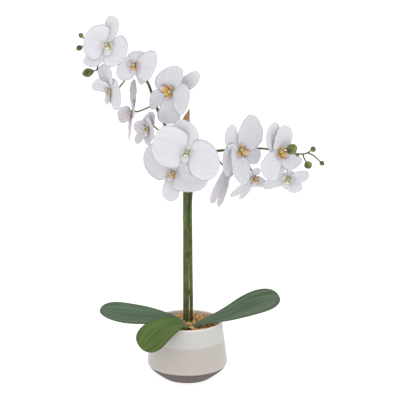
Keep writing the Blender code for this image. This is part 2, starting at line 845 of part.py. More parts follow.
def layer_mesh(name, lobes, hub_radius, dock, row_count, column_count):
    """Make the middle surface of one flower layer: a hub disc with a lobe on each dock."""
    points = [np.zeros(3)]
    faces = []
    ring = []
    width = column_count + 1
    ordered = sorted(lobes, key=lambda each: each.turn % 360.0)
    for lobe, room in zip(ordered, rooms(ordered)):
        first = len(points)
        points += lobe_points(lobe, room, hub_radius, dock, row_count, column_count)
        ring += range(first, first + width)
        for row in range(row_count - 1):
            for column in range(column_count):
                a = first + row * width + column
                faces.append((a, a + 1, a + 1 + width, a + width))
        last = first + (row_count - 1) * width
        tip = len(points) - 1
        for column in range(column_count):
            faces.append((last + column, last + column + 1, tip))
    for here, after in zip(ring, ring[1:] + ring[:1]):
        faces.append((0, after, here))
    mesh = mesh_from(name, points, faces)
    shade(mesh, 60.0)
    return mesh


def bloom_axes(bloom):
    """Return the flower's right, up and forward directions in the world."""
    facing = math.radians(bloom.facing)
    tilt = math.radians(bloom.tilt)
    roll = math.radians(bloom.roll)
    level_reach = math.cos(tilt)
    forward = Vector((math.sin(facing) * level_reach, -math.cos(facing) * level_reach, math.sin(tilt)))
    level = Vector((math.cos(facing), math.sin(facing), 0.0))
    upright = forward.cross(level)
    up = upright * math.cos(roll) + level * math.sin(roll)
    right = level * math.cos(roll) - upright * math.sin(roll)
    return right, up, forward


def make_bloom(bloom):
    """Make a flower on an empty at its hub: sepals, then petals in front, then the lip."""
    right, up, forward = bloom_axes(bloom)
    anchor = bpy.data.objects.new(bloom.name, None)
    bpy.context.scene.collection.objects.link(anchor)
    turn = Matrix((right, up, forward)).transposed().to_4x4()
    anchor.matrix_world = Matrix.Translation(Vector(bloom.hub) * MM) @ turn
    step = LAYER_THICKNESS + CLEARANCE
    layers = (
        ("sepals", bloom.sepals, HUB_RADIUS, SEPAL_DOCK, LOBE_ROWS, LOBE_COLUMNS, LAYER_THICKNESS, 0.0),
        ("petals", bloom.petals, HUB_RADIUS, PETAL_DOCK, LOBE_ROWS, LOBE_COLUMNS, LAYER_THICKNESS, step),
        ("lip", LIP_LOBES, LIP_HUB_RADIUS, LIP_DOCK, LIP_ROWS, LIP_COLUMNS, LIP_THICKNESS, LIP_LAYER_HEIGHT),
    )
    for kind, lobes, hub_radius, dock, rows, columns, thickness, height in layers:
        name = f"{bloom.name}_{kind}"
        mesh = layer_mesh(name, lobes, hub_radius, dock, rows, columns)
        colour = LIP_COLOUR if kind == "lip" else PETAL_COLOUR
        layer = add_object(name, mesh, material(name + "_finish", colour, 0.6), anchor)
        layer.location = (0.0, 0.0, height * MM)
        thicken(layer, thickness)


def stalk_points(start, bloom):
    """Route of a flower's stalk: from the main stem to just behind the flower's hub."""
    forward = np.array(bloom_axes(bloom)[2])
    hub = np.array(bloom.hub)
    end = hub - forward * (LAYER_THICKNESS / 2.0 + CLEARANCE + 0.1)
    far, near = (hub - forward * distance for distance in STALK_APPROACH)
    return smooth_route([start, far, near, end], BRANCH_STEPS)


def add_branch(spike, name, centres):
    """Unite one side stalk with a spike."""
    radii = [BRANCH_RADIUS] * len(centres)
    cut(spike, make_cutter(name, tube_mesh(name, centres, radii, BRANCH_SIDES)), "UNION")


def make_spike(name, route, stalks, twigs):
    """Make one flowering stem with all its side stalks as one body."""
    rows = smooth_route(route, BRANCH_STEPS)
    mesh = tube_mesh(name, rows[:, :3], rows[:, 3], STEM_SIDES)
    spike = add_object(name, mesh, material(name + "_green", STEM_COLOUR, 0.5))
    knots = [np.array(knot[:3]) for knot in route]
    for bloom in BLOOMS:
        if bloom.name in stalks:
            add_branch(spike, bloom.name + "_stalk", stalk_points(knots[stalks[bloom.name]], bloom))
    for twig in twigs:
        centres = smooth_route([knots[twig.knot], *twig.route], BRANCH_STEPS)
        add_branch(spike, twig.bud_name + "_stalk", centres)
        make_bud(twig, centres)
    return spike


def make_bud(twig, centres):
    """Make a bud that grows on in the direction of its stalk, fattest a little past its middle."""
    direction = Vector(centres[-1] - centres[-2]).normalized()
    profile = [(0.0, 0.0)]
    for ring in range(1, BUD_RINGS):
        share = ring / BUD_RINGS
        profile.append((twig.bud_radius * math.sin(math.pi * share**1.15) ** 0.8, twig.bud_length * share))
    profile.append((0.0, twig.bud_length))
    mesh = turned_mesh(twig.bud_name, profile, BUD_SEGMENTS)
    bud = add_object(twig.bud_name, mesh, material(twig.bud_name + "_green", BUD_COLOUR, 0.5))
    bud.rotation_mode = "QUATERNION"
    bud.rotation_quaternion = direction.to_track_quat("Z", "Y")
    bud.location = (Vector(centres[-1]) + direction * CLEARANCE) * MM
    return bud


def main():
    """Build every piece of the potted orchid."""
    clear_scene()
    make_pot()
    make_gravel()
    make_stake()
    for leaf in LEAVES:
        make_leaf(leaf)
    for bloom in BLOOMS:
        make_bloom(bloom)
    make_spike("spike_left", SPIKE_LEFT_ROUTE, LEFT_STALKS, LEFT_TWIGS)
    make_spike("spike_right", SPIKE_RIGHT_ROUTE, RIGHT_STALKS, RIGHT_TWIGS)


if __name__ == "__main__":
    main()
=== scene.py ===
"""Potted moth orchid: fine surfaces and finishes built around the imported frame.

Two arching stems carry thirteen white flowers above three strap leaves, in a round stoneware pot filled
with stone chips. Sizes are written in millimetres and degrees, in the frame's own axes: the origin is the
centre of the pot's foot, +Z is up and the flowers face -Y.
"""
import logging
import math
from dataclasses import dataclass, replace
from enum import Enum

import bmesh
import bpy
import numpy as np
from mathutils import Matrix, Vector


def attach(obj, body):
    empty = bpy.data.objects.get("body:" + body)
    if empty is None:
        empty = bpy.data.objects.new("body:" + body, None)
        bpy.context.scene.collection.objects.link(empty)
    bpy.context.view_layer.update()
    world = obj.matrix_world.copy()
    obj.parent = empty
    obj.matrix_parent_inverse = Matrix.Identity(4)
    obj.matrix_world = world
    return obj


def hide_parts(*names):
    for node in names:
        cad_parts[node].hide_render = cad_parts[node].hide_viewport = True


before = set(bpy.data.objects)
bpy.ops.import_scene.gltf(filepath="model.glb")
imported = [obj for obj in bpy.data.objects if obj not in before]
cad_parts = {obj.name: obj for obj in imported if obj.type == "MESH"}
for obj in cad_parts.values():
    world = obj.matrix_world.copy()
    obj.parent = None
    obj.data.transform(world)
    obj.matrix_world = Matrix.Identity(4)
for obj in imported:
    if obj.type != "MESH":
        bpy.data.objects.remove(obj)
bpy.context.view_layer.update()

logging.basicConfig(level=logging.INFO, format="%(message)s")
log = logging.getLogger("orchid")

MM = 0.001
BODY = "root"
SEED = 41
UP = (0.0, 0.0, 1.0)
# Points nearer than this, in millimetres, become one, and shorter edges than the second are dropped.
WELD_REACH = 0.002
SLIVER_REACH = 0.001
# How finely an outline is read to find its widest place.
OUTLINE_STEPS = 201
# The scale that gives a wave texture one band in each unit of its place.
WAVE_UNIT = 0.314
# Where a noise texture spends nearly all of its range.
NOISE_SPAN = (0.36, 0.64)
Socket = bpy.types.NodeSocket
Source = Socket | float | str


def linear(colour: str) -> tuple[float, float, float, float]:
    """Turn an sRGB hex colour into linear red, green, blue and alpha.

    Args:
        colour: six hex digits after a hash sign.

    Returns:
        The four channels, each from 0 to 1.
    """
    shares = [int(colour[at:at + 2], 16) / 255.0 for at in (1, 3, 5)]
    low = [share / 12.92 for share in shares]
    high = [((share + 0.055) / 1.055) ** 2.4 for share in shares]
    red, green, blue = (a if share <= 0.04045 else b for share, a, b in zip(shares, low, high))
    return red, green, blue, 1.0


def unit(vectors: np.ndarray) -> np.ndarray:
    """Scale each row of an array to length one."""
    return vectors / np.linalg.norm(vectors, axis=-1, keepdims=True)


def smooth_route(knots: np.ndarray, steps: int) -> np.ndarray:
    """Run a Catmull-Rom curve through rows of numbers.

    Between two rows b and c, with a before and d after, the curve at t is
    (2b + (c - a)t + (2a - 5b + 4c - d)t^2 + (3b - a - 3c + d)t^3) / 2.

    Args:
        knots: one row for each point that the curve passes through.
        steps: how many steps each span is cut into.

    Returns:
        The rows along the curve, with both ends.
    """
    rows = np.asarray(knots, dtype=float)
    padded = np.vstack([2.0 * rows[0] - rows[1], rows, 2.0 * rows[-1] - rows[-2]])
    a, b, c, d = (padded[at:len(padded) - 3 + at, None, :] for at in range(4))
    t = (np.arange(steps) / steps)[None, :, None]
    bow = 2.0 * a - 5.0 * b + 4.0 * c - d
    twist = 3.0 * b - a - 3.0 * c + d
    curve = 0.5 * (2.0 * b + (c - a) * t + bow * t**2 + twist * t**3)
    return np.vstack([curve.reshape(-1, rows.shape[1]), rows[-1]])


def resample(rows: np.ndarray, shares: np.ndarray) -> np.ndarray:
    """Read a route of points at shares of its length.

    Args:
        rows: points along the route; only the first three columns count as distance.
        shares: where to read it, from 0 at its start to 1 at its end.

    Returns:
        One row for each share.
    """
    steps = np.linalg.norm(np.diff(rows[:, :3], axis=0), axis=1)
    distance = np.concatenate([[0.0], np.cumsum(steps)])
    wanted = shares * distance[-1]
    return np.column_stack([np.interp(wanted, distance, column) for column in rows.T])


def outline(along: np.ndarray, width: float, claw: float, blunt: float) -> np.ndarray:
    """Half width along a petal: along^claw times the root of (1 - along^blunt), scaled to the width."""
    fine = np.linspace(0.0, 1.0, OUTLINE_STEPS)
    peak = np.max(fine**claw * np.sqrt(1.0 - fine**blunt))
    return along**claw * np.sqrt(np.clip(1.0 - along**blunt, 0.0, None)) * width / (2.0 * peak)


def tube(centres: np.ndarray, radii: np.ndarray, sides: int, flat: float = 1.0) -> np.ndarray:
    """Carry a ring along a path and close both its ends.

    A point is centre + radius (cos a · across + flat · sin a · up), where across and up are square to the
    path. The ends are rings of no radius, so they weld into poles.

    Args:
        centres: points of the path.
        radii: one radius for each point.
        sides: how many points each ring has.
        flat: how thick the ring is for its width.

    Returns:
        A grid of points, one ring in each row.
    """
    tangents = unit(np.gradient(centres, axis=0))
    axes = np.eye(3)
    steady = axes[np.argmin(np.abs(tangents @ axes).max(axis=0))]
    across = unit(np.cross(tangents, steady))
    up = np.cross(across, tangents)
    angles = np.linspace(0.0, 2.0 * np.pi, sides, endpoint=False)[None, :, None]
    ring = np.cos(angles) * across[:, None, :] + flat * np.sin(angles) * up[:, None, :]
    grid = centres[:, None, :] + radii[:, None, None] * ring
    ends = [np.repeat(centres[at][None, None, :], sides, axis=1) for at in (0, -1)]
    return np.concatenate([ends[0], grid, ends[1]], axis=0)


def turned(profile: np.ndarray, sides: int) -> np.ndarray:
    """Turn a profile of (radius, height) rows about the Z axis, as (r cos a, r sin a, height)."""
    angles = np.linspace(0.0, 2.0 * np.pi, sides, endpoint=False)
    radius = profile[:, 0][:, None]
    height = np.repeat(profile[:, 1][:, None], sides, axis=1)
    return np.stack([radius * np.cos(angles), radius * np.sin(angles), height], axis=-1)


def wander(
    shape: tuple[int, int], rng: np.random.Generator, waves: int = 4, paces: tuple = (0.5, 2.2)
) -> np.ndarray:
    """Draw a smooth random relief over a unit grid, as a sum of slanted sine waves between -1 and 1.

    Args:
        shape: rows and columns of the grid.
        rng: the seeded source of each wave's direction, length and start.
        waves: how many waves are added.
        paces: the fewest and the most times that a wave comes round on its way across the grid.

    Returns:
        The relief at each grid point.
    """
    u = np.linspace(0.0, 1.0, shape[0])[:, None]
    v = np.linspace(0.0, 1.0, shape[1])[None, :]
    pace = rng.uniform(*paces, (waves, 2)) * rng.choice((-1.0, 1.0), (waves, 2))
    start = rng.uniform(0.0, 2.0 * np.pi, waves)
    angle = pace[:, 0, None, None] * u * 2.0 * np.pi + pace[:, 1, None, None] * v * 2.0 * np.pi
    return np.mean(np.sin(angle + start[:, None, None]), axis=0)


class Sheets:
    """Gathers grids of points and makes one mesh object of them."""

    def __init__(self) -> None:
        """Start with no points."""
        self.points: list[np.ndarray] = []
        self.quads: list[np.ndarray] = []
        self.places: list[np.ndarray] = []
        self.tints: list[np.ndarray] = []
        self.finishes: list[np.ndarray] = []
        self.count = 0

    def add(
        self, grid: np.ndarray, ring: bool = False, tint: np.ndarray | float = 0.0, finish: int = 0
    ) -> None:
        """Add one grid of points or a batch of them, joined into quads.

        Args:
            grid: rows by columns by three in millimetres, with the batch in front where there is one.
            ring: whether the last column joins the first.
            tint: a number kept at each point for the material to read, one for each grid of a batch.
            finish: which of the object's materials covers the grid.
        """
        batch = grid if grid.ndim == 4 else grid[None]
        many, rows, columns = batch.shape[:3]
        index = np.arange(many * rows * columns).reshape(many, rows, columns) + self.count
        after = np.roll(index, -1, axis=2)
        last = columns if ring else columns - 1
        corners = (index[:, :-1, :last], after[:, :-1, :last], after[:, 1:, :last], index[:, 1:, :last])
        quads = np.stack(corners, axis=-1).reshape(-1, 4)
        u, v = np.meshgrid(np.linspace(0.0, 1.0, rows), np.linspace(0.0, 1.0, columns), indexing="ij")
        self.points.append(batch.reshape(-1, 3))
        self.quads.append(quads)
        self.places.append(np.tile(np.stack([u, v], axis=-1).reshape(-1, 2), (many, 1)))
        self.tints.append(np.repeat(np.broadcast_to(tint, (many,)), rows * columns))
        self.finishes.append(np.full(len(quads), finish))
        self.count += many * rows * columns

    def mesh(self, name: str) -> bpy.types.Mesh:
        """Make the mesh, weld its seams and poles and shade it smooth.

        Args:
            name: the mesh's name.

        Returns:
            A mesh in metres with a UV map and the point attribute "tint".
        """
        points = np.concatenate(self.points) * MM
        quads = np.concatenate(self.quads).astype(np.int32)
        made = bpy.data.meshes.new(name)
        made.vertices.add(len(points))
        made.vertices.foreach_set("co", points.ravel())
        made.loops.add(quads.size)
        made.loops.foreach_set("vertex_index", quads.ravel())
        made.polygons.add(len(quads))
        made.polygons.foreach_set("loop_start", np.arange(len(quads), dtype=np.int32) * 4)
        made.polygons.foreach_set("material_index", np.concatenate(self.finishes).astype(np.int32))
        made.update(calc_edges=True)
        layer = made.uv_layers.new(name="surface")
        layer.data.foreach_set("uv", np.concatenate(self.places)[quads.ravel()].ravel())
        tint = made.attributes.new("tint", "FLOAT", "POINT")
        tint.data.foreach_set("value", np.concatenate(self.tints))
        self.weld(made)
        made.shade_smooth()
        return made

    @staticmethod
    def weld(made: bpy.types.Mesh) -> None:
        """Merge the points of seams and poles and turn closed surfaces outwards."""
        work = bmesh.new()
        work.from_mesh(made)
        bmesh.ops.remove_doubles(work, verts=work.verts, dist=WELD_REACH * MM)
        bmesh.ops.dissolve_degenerate(work, edges=work.edges, dist=SLIVER_REACH * MM)
        bmesh.ops.recalc_face_normals(work, faces=work.faces)
        work.to_mesh(made)
        work.free()


def piece(name: str, mesh: bpy.types.Mesh, finishes: tuple, node: str | None) -> bpy.types.Object:
    """Put a finished mesh in the scene as a piece of the plant.

    Args:
        name: the piece's name.
        mesh: its mesh, already in place.
        finishes: its materials, in the order of the mesh's material numbers.
        node: the frame's node that it stands for, if any.

    Returns:
        The object.
    """
    made = bpy.data.objects.new(name, mesh)
    bpy.context.scene.collection.objects.link(made)
    for finish in finishes:
        mesh.materials.append(finish)
    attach(made, BODY)
    if node is not None:
        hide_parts(node)
    log.info("%s: %d faces", name, len(mesh.polygons))
    return made


def thicken(made: bpy.types.Object, thickness: float) -> None:
    """Give a sheet its thickness in millimetres, half on each side."""
    solid = made.modifiers.new("thickness", "SOLIDIFY")
    solid.thickness = thickness * MM
    solid.offset = 0.0


def add_node(
    tree: bpy.types.NodeTree,
    kind: str,
    settings: dict | None = None,
    values: dict | None = None,
    links: dict | None = None,
) -> bpy.types.Node:
    """Add a shader node with its settings and links.

    Args:
        tree: the node tree that gets it.
        kind: the node's type name, without the ShaderNode in front.
        settings: the node's own properties.
        values: what its unlinked sockets hold, by name or number.
        links: the output sockets that feed its inputs, by name or number.

    Returns:
        The node.
    """
    node = tree.nodes.new("ShaderNode" + kind)
    for key, value in (settings or {}).items():
        setattr(node, key, value)
    for key, value in (values or {}).items():
        node.inputs[key].default_value = value
    for key, socket in (links or {}).items():
        tree.links.new(socket, node.inputs[key])
    return node


class Shade:
    """One material's node tree, built step by step; most methods return the socket that they make."""

    def __init__(self, name: str, **sockets: float) -> None:
        """Make the material.

        Args:
            name: the material's name.
            sockets: uniform values for its shader's own sockets, with underscores for spaces.
        """
        self.material = bpy.data.materials.new(name)
        self.material.use_nodes = True
        self.tree = self.material.node_tree
        self.shader = self.tree.nodes["Principled BSDF"]
        for key, value in sockets.items():
            self.shader.inputs[key.replace("_", " ")].default_value = value
        spots = add_node(self.tree, "TexCoord").outputs
        self.place = spots["Object"]
        self.surface = spots["UV"]
        self.along = self.part(self.surface, 0)

    def add(
        self,
        kind: str,
        settings: dict | None = None,
        values: dict | None = None,
        links: dict | None = None,
        output: int | str = 0,
    ) -> Socket:
        """Add a node as add_node does and return one of its outputs."""
        return add_node(self.tree, kind, settings, values, links).outputs[output]

    def feed(self, kind: str, settings: dict, sources: dict, output: int = 0) -> Socket:
        """Add a node whose inputs take sockets, numbers, linear colours or hex colours alike.

        Args:
            kind: the node's type name, without the ShaderNode in front.
            settings: the node's own properties.
            sources: what feeds each input, by number.
            output: which output to return.

        Returns:
            That output.
        """
        sources = {key: linear(value) if isinstance(value, str) else value for key, value in sources.items()}
        linked = {key: value for key, value in sources.items() if isinstance(value, Socket)}
        held = {key: value for key, value in sources.items() if key not in linked}
        return self.add(kind, settings, held, linked, output)

    def mix(self, amount: Source, low: Source, high: Source, blend: str = "MIX") -> Socket:
        """Lay a second colour over a first one by an amount."""
        settings = {"data_type": "RGBA", "blend_type": blend}
        return self.feed("Mix", settings, {0: amount, 6: low, 7: high}, 2)

    def math(self, operation: str, *sources: Source) -> Socket:
        """Work out one arithmetic step on numbers and sockets."""
        return self.feed("Math", {"operation": operation}, dict(enumerate(sources)))

    def part(self, source: Socket, axis: int) -> Socket:
        """Read one axis of a place."""
        return self.add("SeparateXYZ", links={0: source}, output=axis)

    def span(
        self,
        source: Socket,
        low: float = 0.0,
        high: float = 1.0,
        start: float = 0.0,
        end: float = 1.0,
    ) -> Socket:
        """Go from start to end while a source goes from low to high, and hold there."""
        return self.add("MapRange", values={1: low, 2: high, 3: start, 4: end}, links={0: source})

    def noise(self, size: float, detail: float) -> Socket:
        """Make clouds of a size in millimetres."""
        values = {"Scale": 1.0 / (size * MM), "Detail": detail}
        return self.add("TexNoise", values=values, links={"Vector": self.place})

    def stretched(self, source: Socket, scale: tuple, detail: float) -> Socket:
        """Make clouds over a place that is first scaled on each axis."""
        mapped = self.add("Mapping", values={"Scale": scale}, links={0: source})
        return self.add("TexNoise", values={"Scale": 1.0, "Detail": detail}, links={"Vector": mapped})

    def fibres(self, size: float, stretch: float, detail: float) -> Socket:
        """Make clouds of a size in millimetres, drawn out upwards by a factor."""
        across = 1.0 / (size * MM)
        return self.stretched(self.place, (across, across, across / stretch), detail)

    def bands(
        self,
        source: Socket,
        axis: str,
        count: float,
        distortion: float,
        fineness: float = 1.0,
        profile: str = "SIN",
    ) -> Socket:
        """Make wavering bands.

        Args:
            source: the place that they lie over.
            axis: the axis that they follow one another along.
            count: how many there are in one unit of it.
            distortion: how far they waver.
            fineness: how fine the wavering is.
            profile: SIN for round bands, SAW for bands with one sharp side.

        Returns:
            The bands, from 0 to 1.
        """
        settings = {"bands_direction": axis, "wave_profile": profile}
        values = {"Scale": WAVE_UNIT * count, "Distortion": distortion}
        values |= {"Detail": 2.0, "Detail Scale": fineness}
        return self.add("TexWave", settings, values, {"Vector": source}, 1)

    def dots(self, pitch: float, inner: float, outer: float, strength: float) -> Socket:
        """Make soft dots a pitch in millimetres apart, between two radii in shares of the pitch."""
        cells = self.add("TexVoronoi", values={"Scale": 1.0 / (pitch * MM)}, links={"Vector": self.place})
        return self.span(cells, inner, outer, strength, 0.0)

    def off_midrib(self) -> Socket:
        """Measure how far a point is from the middle line of its sheet: 0 there and 0.5 at its edges."""
        return self.math("ABSOLUTE", self.math("SUBTRACT", self.part(self.surface, 1), 0.5))

    def ramp(self, source: Socket, stops: tuple, steps: bool = False) -> Socket:
        """Read a colour ramp.

        Args:
            source: where to read it.
            stops: pairs of a place and a hex colour.
            steps: whether the colours change in steps.

        Returns:
            The colour.
        """
        node = add_node(self.tree, "ValToRGB", links={0: source})
        node.color_ramp.interpolation = "CONSTANT" if steps else "LINEAR"
        elements = node.color_ramp.elements
        while len(elements) < len(stops):
            elements.new(0.5)
        for element, (place, colour) in zip(elements, stops):
            element.position = place
            element.color = linear(colour)
        return node.outputs[0]

    def tint(self) -> Socket:
        """Read the number that each grid of points carries."""
        return self.add("Attribute", {"attribute_name": "tint"}, output="Fac")

    def link(self, source: Socket, socket: str) -> None:
        """Feed one of the shader's sockets."""
        self.tree.links.new(source, self.shader.inputs[socket])

    def relief(self, height: Socket, strength: float, depth: float) -> None:
        """Raise the surface by a height, at most a depth in millimetres."""
        values = {"Strength": strength, "Distance": depth * MM}
        self.link(self.add("Bump", values=values, links={"Height": height}), "Normal")


@dataclass(frozen=True)
class GlazedStoneware:
    """Thrown stoneware, dipped twice in a satin glaze: a bare grain below, two pale bands above it, and
    painted light on the inner face of the wall.
    """

    bare: str = "#6C6260"
    bare_grain: str = "#584F4D"
    lower: str = "#BBB4AE"
    lower_shade: str = "#B9B2AB"
    upper: str = "#C6C4BF"
    upper_shade: str = "#C2C0BB"
    rim: str = "#DDD8D1"
    # Painted light: a paler colour on the inner face of the wall above the dip line, which lifts the shade
    # that falls inside the pot.
    inner: str = "#ECE7E0"
    glaze_line: float = 20.6
    dip_line: float = 60.0
    rim_line: float = 86.0
    inner_radius: float = 50.3
    line_softness: float = 0.7
    line_wander: float = 0.7
    line_waves: float = 22.0
    grain: float = 0.9
    streak: float = 1.4
    streak_stretch: float = 14.0
    ring_pitch: float = 5.0
    bare_roughness: float = 0.85
    glaze_roughness: float = 0.38
    relief: float = 0.12

    def make(self) -> bpy.types.Material:
        """Make the material: bands by height, with wandering lines, drip streaks, throwing rings and painted
        light inside the wall.
        """
        shade = Shade("satin_glazed_stoneware", IOR=1.5)
        reach = self.line_wander * MM
        shift = shade.span(shade.noise(self.line_waves, 2.0), start=-reach, end=reach)
        level = shade.math("ADD", shade.part(shade.place, 2), shift)
        lines = (self.glaze_line, self.dip_line, self.rim_line)
        glazed, dipped, at_rim = (self.above(shade, level, line) for line in lines)
        speckle = shade.noise(self.grain, 3.0)
        runs = shade.span(shade.fibres(self.streak, self.streak_stretch, 3.0), 0.3, 0.62)
        clay = shade.mix(speckle, self.bare_grain, self.bare)
        colour = shade.mix(glazed, clay, shade.mix(runs, self.lower_shade, self.lower))
        colour = shade.mix(dipped, colour, shade.mix(runs, self.upper_shade, self.upper))
        colour = shade.mix(at_rim, colour, self.rim)
        # Painted light on the inner face of the wall, above the dip line.
        colour = shade.mix(shade.math("MULTIPLY", self.inside(shade), dipped), colour, self.inner)
        shade.link(colour, "Base Color")
        roughness = shade.span(glazed, start=self.bare_roughness, end=self.glaze_roughness)
        shade.link(roughness, "Roughness")
        rings = shade.bands(shade.place, "Z", 1.0 / (self.ring_pitch * MM), 1.5)
        grain = shade.math("MULTIPLY", speckle, shade.span(glazed, start=1.0, end=0.15))
        shade.relief(shade.math("MULTIPLY_ADD", rings, 0.35, grain), 0.5, self.relief)
        return shade.material

    def above(self, shade: Shade, level: Socket, line: float) -> Socket:
        """Go from 0 to 1 across a line at a height in millimetres."""
        return shade.span(level, (line - self.line_softness) * MM, (line + self.line_softness) * MM)

    def inside(self, shade: Shade) -> Socket:
        """Tell the inner face of the wall, which is nearer to the pot's axis and takes the painted light, by
        a 1.
        """
        flat = shade.feed("VectorMath", {"operation": "MULTIPLY"}, {0: shade.place, 1: (1.0, 1.0, 0.0)})
        radius = shade.feed("VectorMath", {"operation": "LENGTH"}, {0: flat}, 1)
        return shade.math("LESS_THAN", radius, self.inner_radius * MM)


@dataclass(frozen=True)
class StoneChips:
    """Crushed sandstone: each chip has its own tan, with a dusty grain that kills any shine."""

    colours: tuple = ("#8A5F30", "#B98145", "#D29B55", "#DDB27A", "#E8D4AC", "#C3A878")
    grain: float = 0.8
    grain_shade: tuple = (0.72, 1.15)

    def make(self) -> bpy.types.Material:
        """Make the material: a colour for each chip's tint, darkened and lightened by its grain."""
        shade = Shade("crushed_sandstone", Roughness=0.9, IOR=1.45)
        stops = tuple((at / len(self.colours), colour) for at, colour in enumerate(self.colours))
        dust = shade.noise(self.grain, 3.0)
        chip = shade.ramp(shade.tint(), stops, steps=True)
        dusting = shade.span(dust, 0.3, 0.7, *self.grain_shade)
        shade.link(shade.mix(1.0, chip, dusting, "MULTIPLY"), "Base Color")
        shade.relief(dust, 0.6, 0.2)
        return shade.material


@dataclass(frozen=True)
class SplitBamboo:
    """Split bamboo cane: long pale fibres with darker ones between them, and olive painted shade below its
    tip, where it stands behind the stems.
    """

    pale: str = "#C09A72"
    dark: str = "#926A44"
    # Painted shade: the cane is olive from 225 to 380 mm, where it stands behind the two stems.
    shade_behind_stems: str = "#55552F"
    shade_behind_stems_span: tuple = (225.0, 380.0)
    shade_behind_stems_fade: float = 12.0
    shade_behind_stems_share: float = 0.85
    fibre: float = 0.7
    fibre_stretch: float = 40.0

    def make(self) -> bpy.types.Material:
        """Make the material: noise stretched along the cane for its fibres, and a band of olive painted
        shade.
        """
        shade = Shade("split_bamboo", Roughness=0.7, IOR=1.5)
        fibres = shade.span(shade.fibres(self.fibre, self.fibre_stretch, 4.0), 0.35, 0.65)
        height = shade.part(shade.place, 2)
        low, high = (edge * MM for edge in self.shade_behind_stems_span)
        fade = self.shade_behind_stems_fade * MM
        # Painted shade: the olive band fades in and out across that span.
        rise = shade.span(height, low, low + fade, 0.0, self.shade_behind_stems_share)
        shade_band = shade.math("MULTIPLY", rise, shade.span(height, high - fade, high, 1.0, 0.0))
        shade.link(shade.mix(shade_band, shade.mix(fibres, self.dark, self.pale), self.shade_behind_stems), "Base Color")
        shade.relief(fibres, 0.5, 0.15)
        return shade.material


@dataclass(frozen=True)
class StemSkin:
    """Flower stem skin: waxy green with long paler streaks, and paler still on its scale leaves."""

    green: str = "#4E602B"
    dark: str = "#38481E"
    pale: str = "#7E8850"
    streak: float = 1.6
    streak_stretch: float = 16.0
    patch: float = 18.0

    def make(self) -> bpy.types.Material:
        """Make the material: streaks along the stem over a slow change between two greens."""
        shade = Shade("waxy_stem_skin", Roughness=0.46, IOR=1.38)
        streaks = shade.fibres(self.streak, self.streak_stretch, 3.0)
        colour = shade.mix(shade.span(shade.noise(self.patch, 2.0), 0.35, 0.65), self.dark, self.green)
        colour = shade.mix(shade.span(streaks, 0.52, 0.72, 0.0, 0.6), colour, self.pale)
        shade.link(shade.mix(shade.tint(), colour, self.pale), "Base Color")
        shade.relief(streaks, 0.4, 0.2)
        return shade.material


@dataclass(frozen=True)
class LeafSkin:
    """Strap leaf skin: leathery and half glossy, with fine parallel veins beside a sunk midrib."""

    name: str
    green: str
    pale: str
    rim: str
    vein: float = 1.6
    vein_strength: float = 0.14
    width: float = 43.0
    streak: float = 6.0
    edge_start: float = 0.45
    edge_strength: float = 0.6
    # Painted shade: a darker line, in the rim's colour, down the midrib's groove.
    crease_shade: float = 0.035
    crease_shade_strength: float = 0.35
    roughness: tuple = (0.36, 0.48)

    def make(self) -> bpy.types.Material:
        """Make the material: long streaks and veins beside the midrib, with a darker edge and painted shade
        in the midrib's groove.
        """
        shade = Shade(self.name, IOR=1.38)
        streaks = shade.stretched(shade.surface, (1.6, self.width / self.streak, 1.0), 2.0)
        slow = shade.span(streaks, *NOISE_SPAN)
        veins = shade.bands(shade.surface, "Y", self.width / self.vein, 1.2, 0.6)
        off = shade.off_midrib()
        colour = shade.mix(slow, self.green, self.pale)
        colour = shade.mix(shade.span(veins, 0.2, 0.9, 0.0, self.vein_strength), colour, self.pale)
        colour = shade.mix(shade.span(off, self.edge_start, 0.5, 0.0, self.edge_strength), colour, self.rim)
        # Painted shade down the midrib's groove.
        crease_shade = shade.span(off, 0.0, self.crease_shade, self.crease_shade_strength, 0.0)
        shade.link(shade.mix(crease_shade, colour, self.rim), "Base Color")
        shade.link(shade.span(slow, 0.0, 1.0, *self.roughness), "Roughness")
        shade.relief(veins, 0.3, 0.25)
        return shade.material


@dataclass(frozen=True)
class BudSkin:
    """Closed bud skin: olive green that turns yellow where the light reaches it, with a faint bloom."""

    green: str = "#59652F"
    dark: str = "#3C4A22"
    yellow: str = "#8B8748"
    patch: float = 7.0

    def make(self) -> bpy.types.Material:
        """Make the material: slow patches of dark olive, olive and yellow."""
        shade = Shade("olive_bud_skin", Roughness=0.5, IOR=1.45)
        patches = shade.noise(self.patch, 2.0)
        stops = ((0.35, self.dark), (0.5, self.green), (0.68, self.yellow))
        shade.link(shade.ramp(patches, stops), "Base Color")
        shade.relief(patches, 0.3, 0.3)
        return shade.material


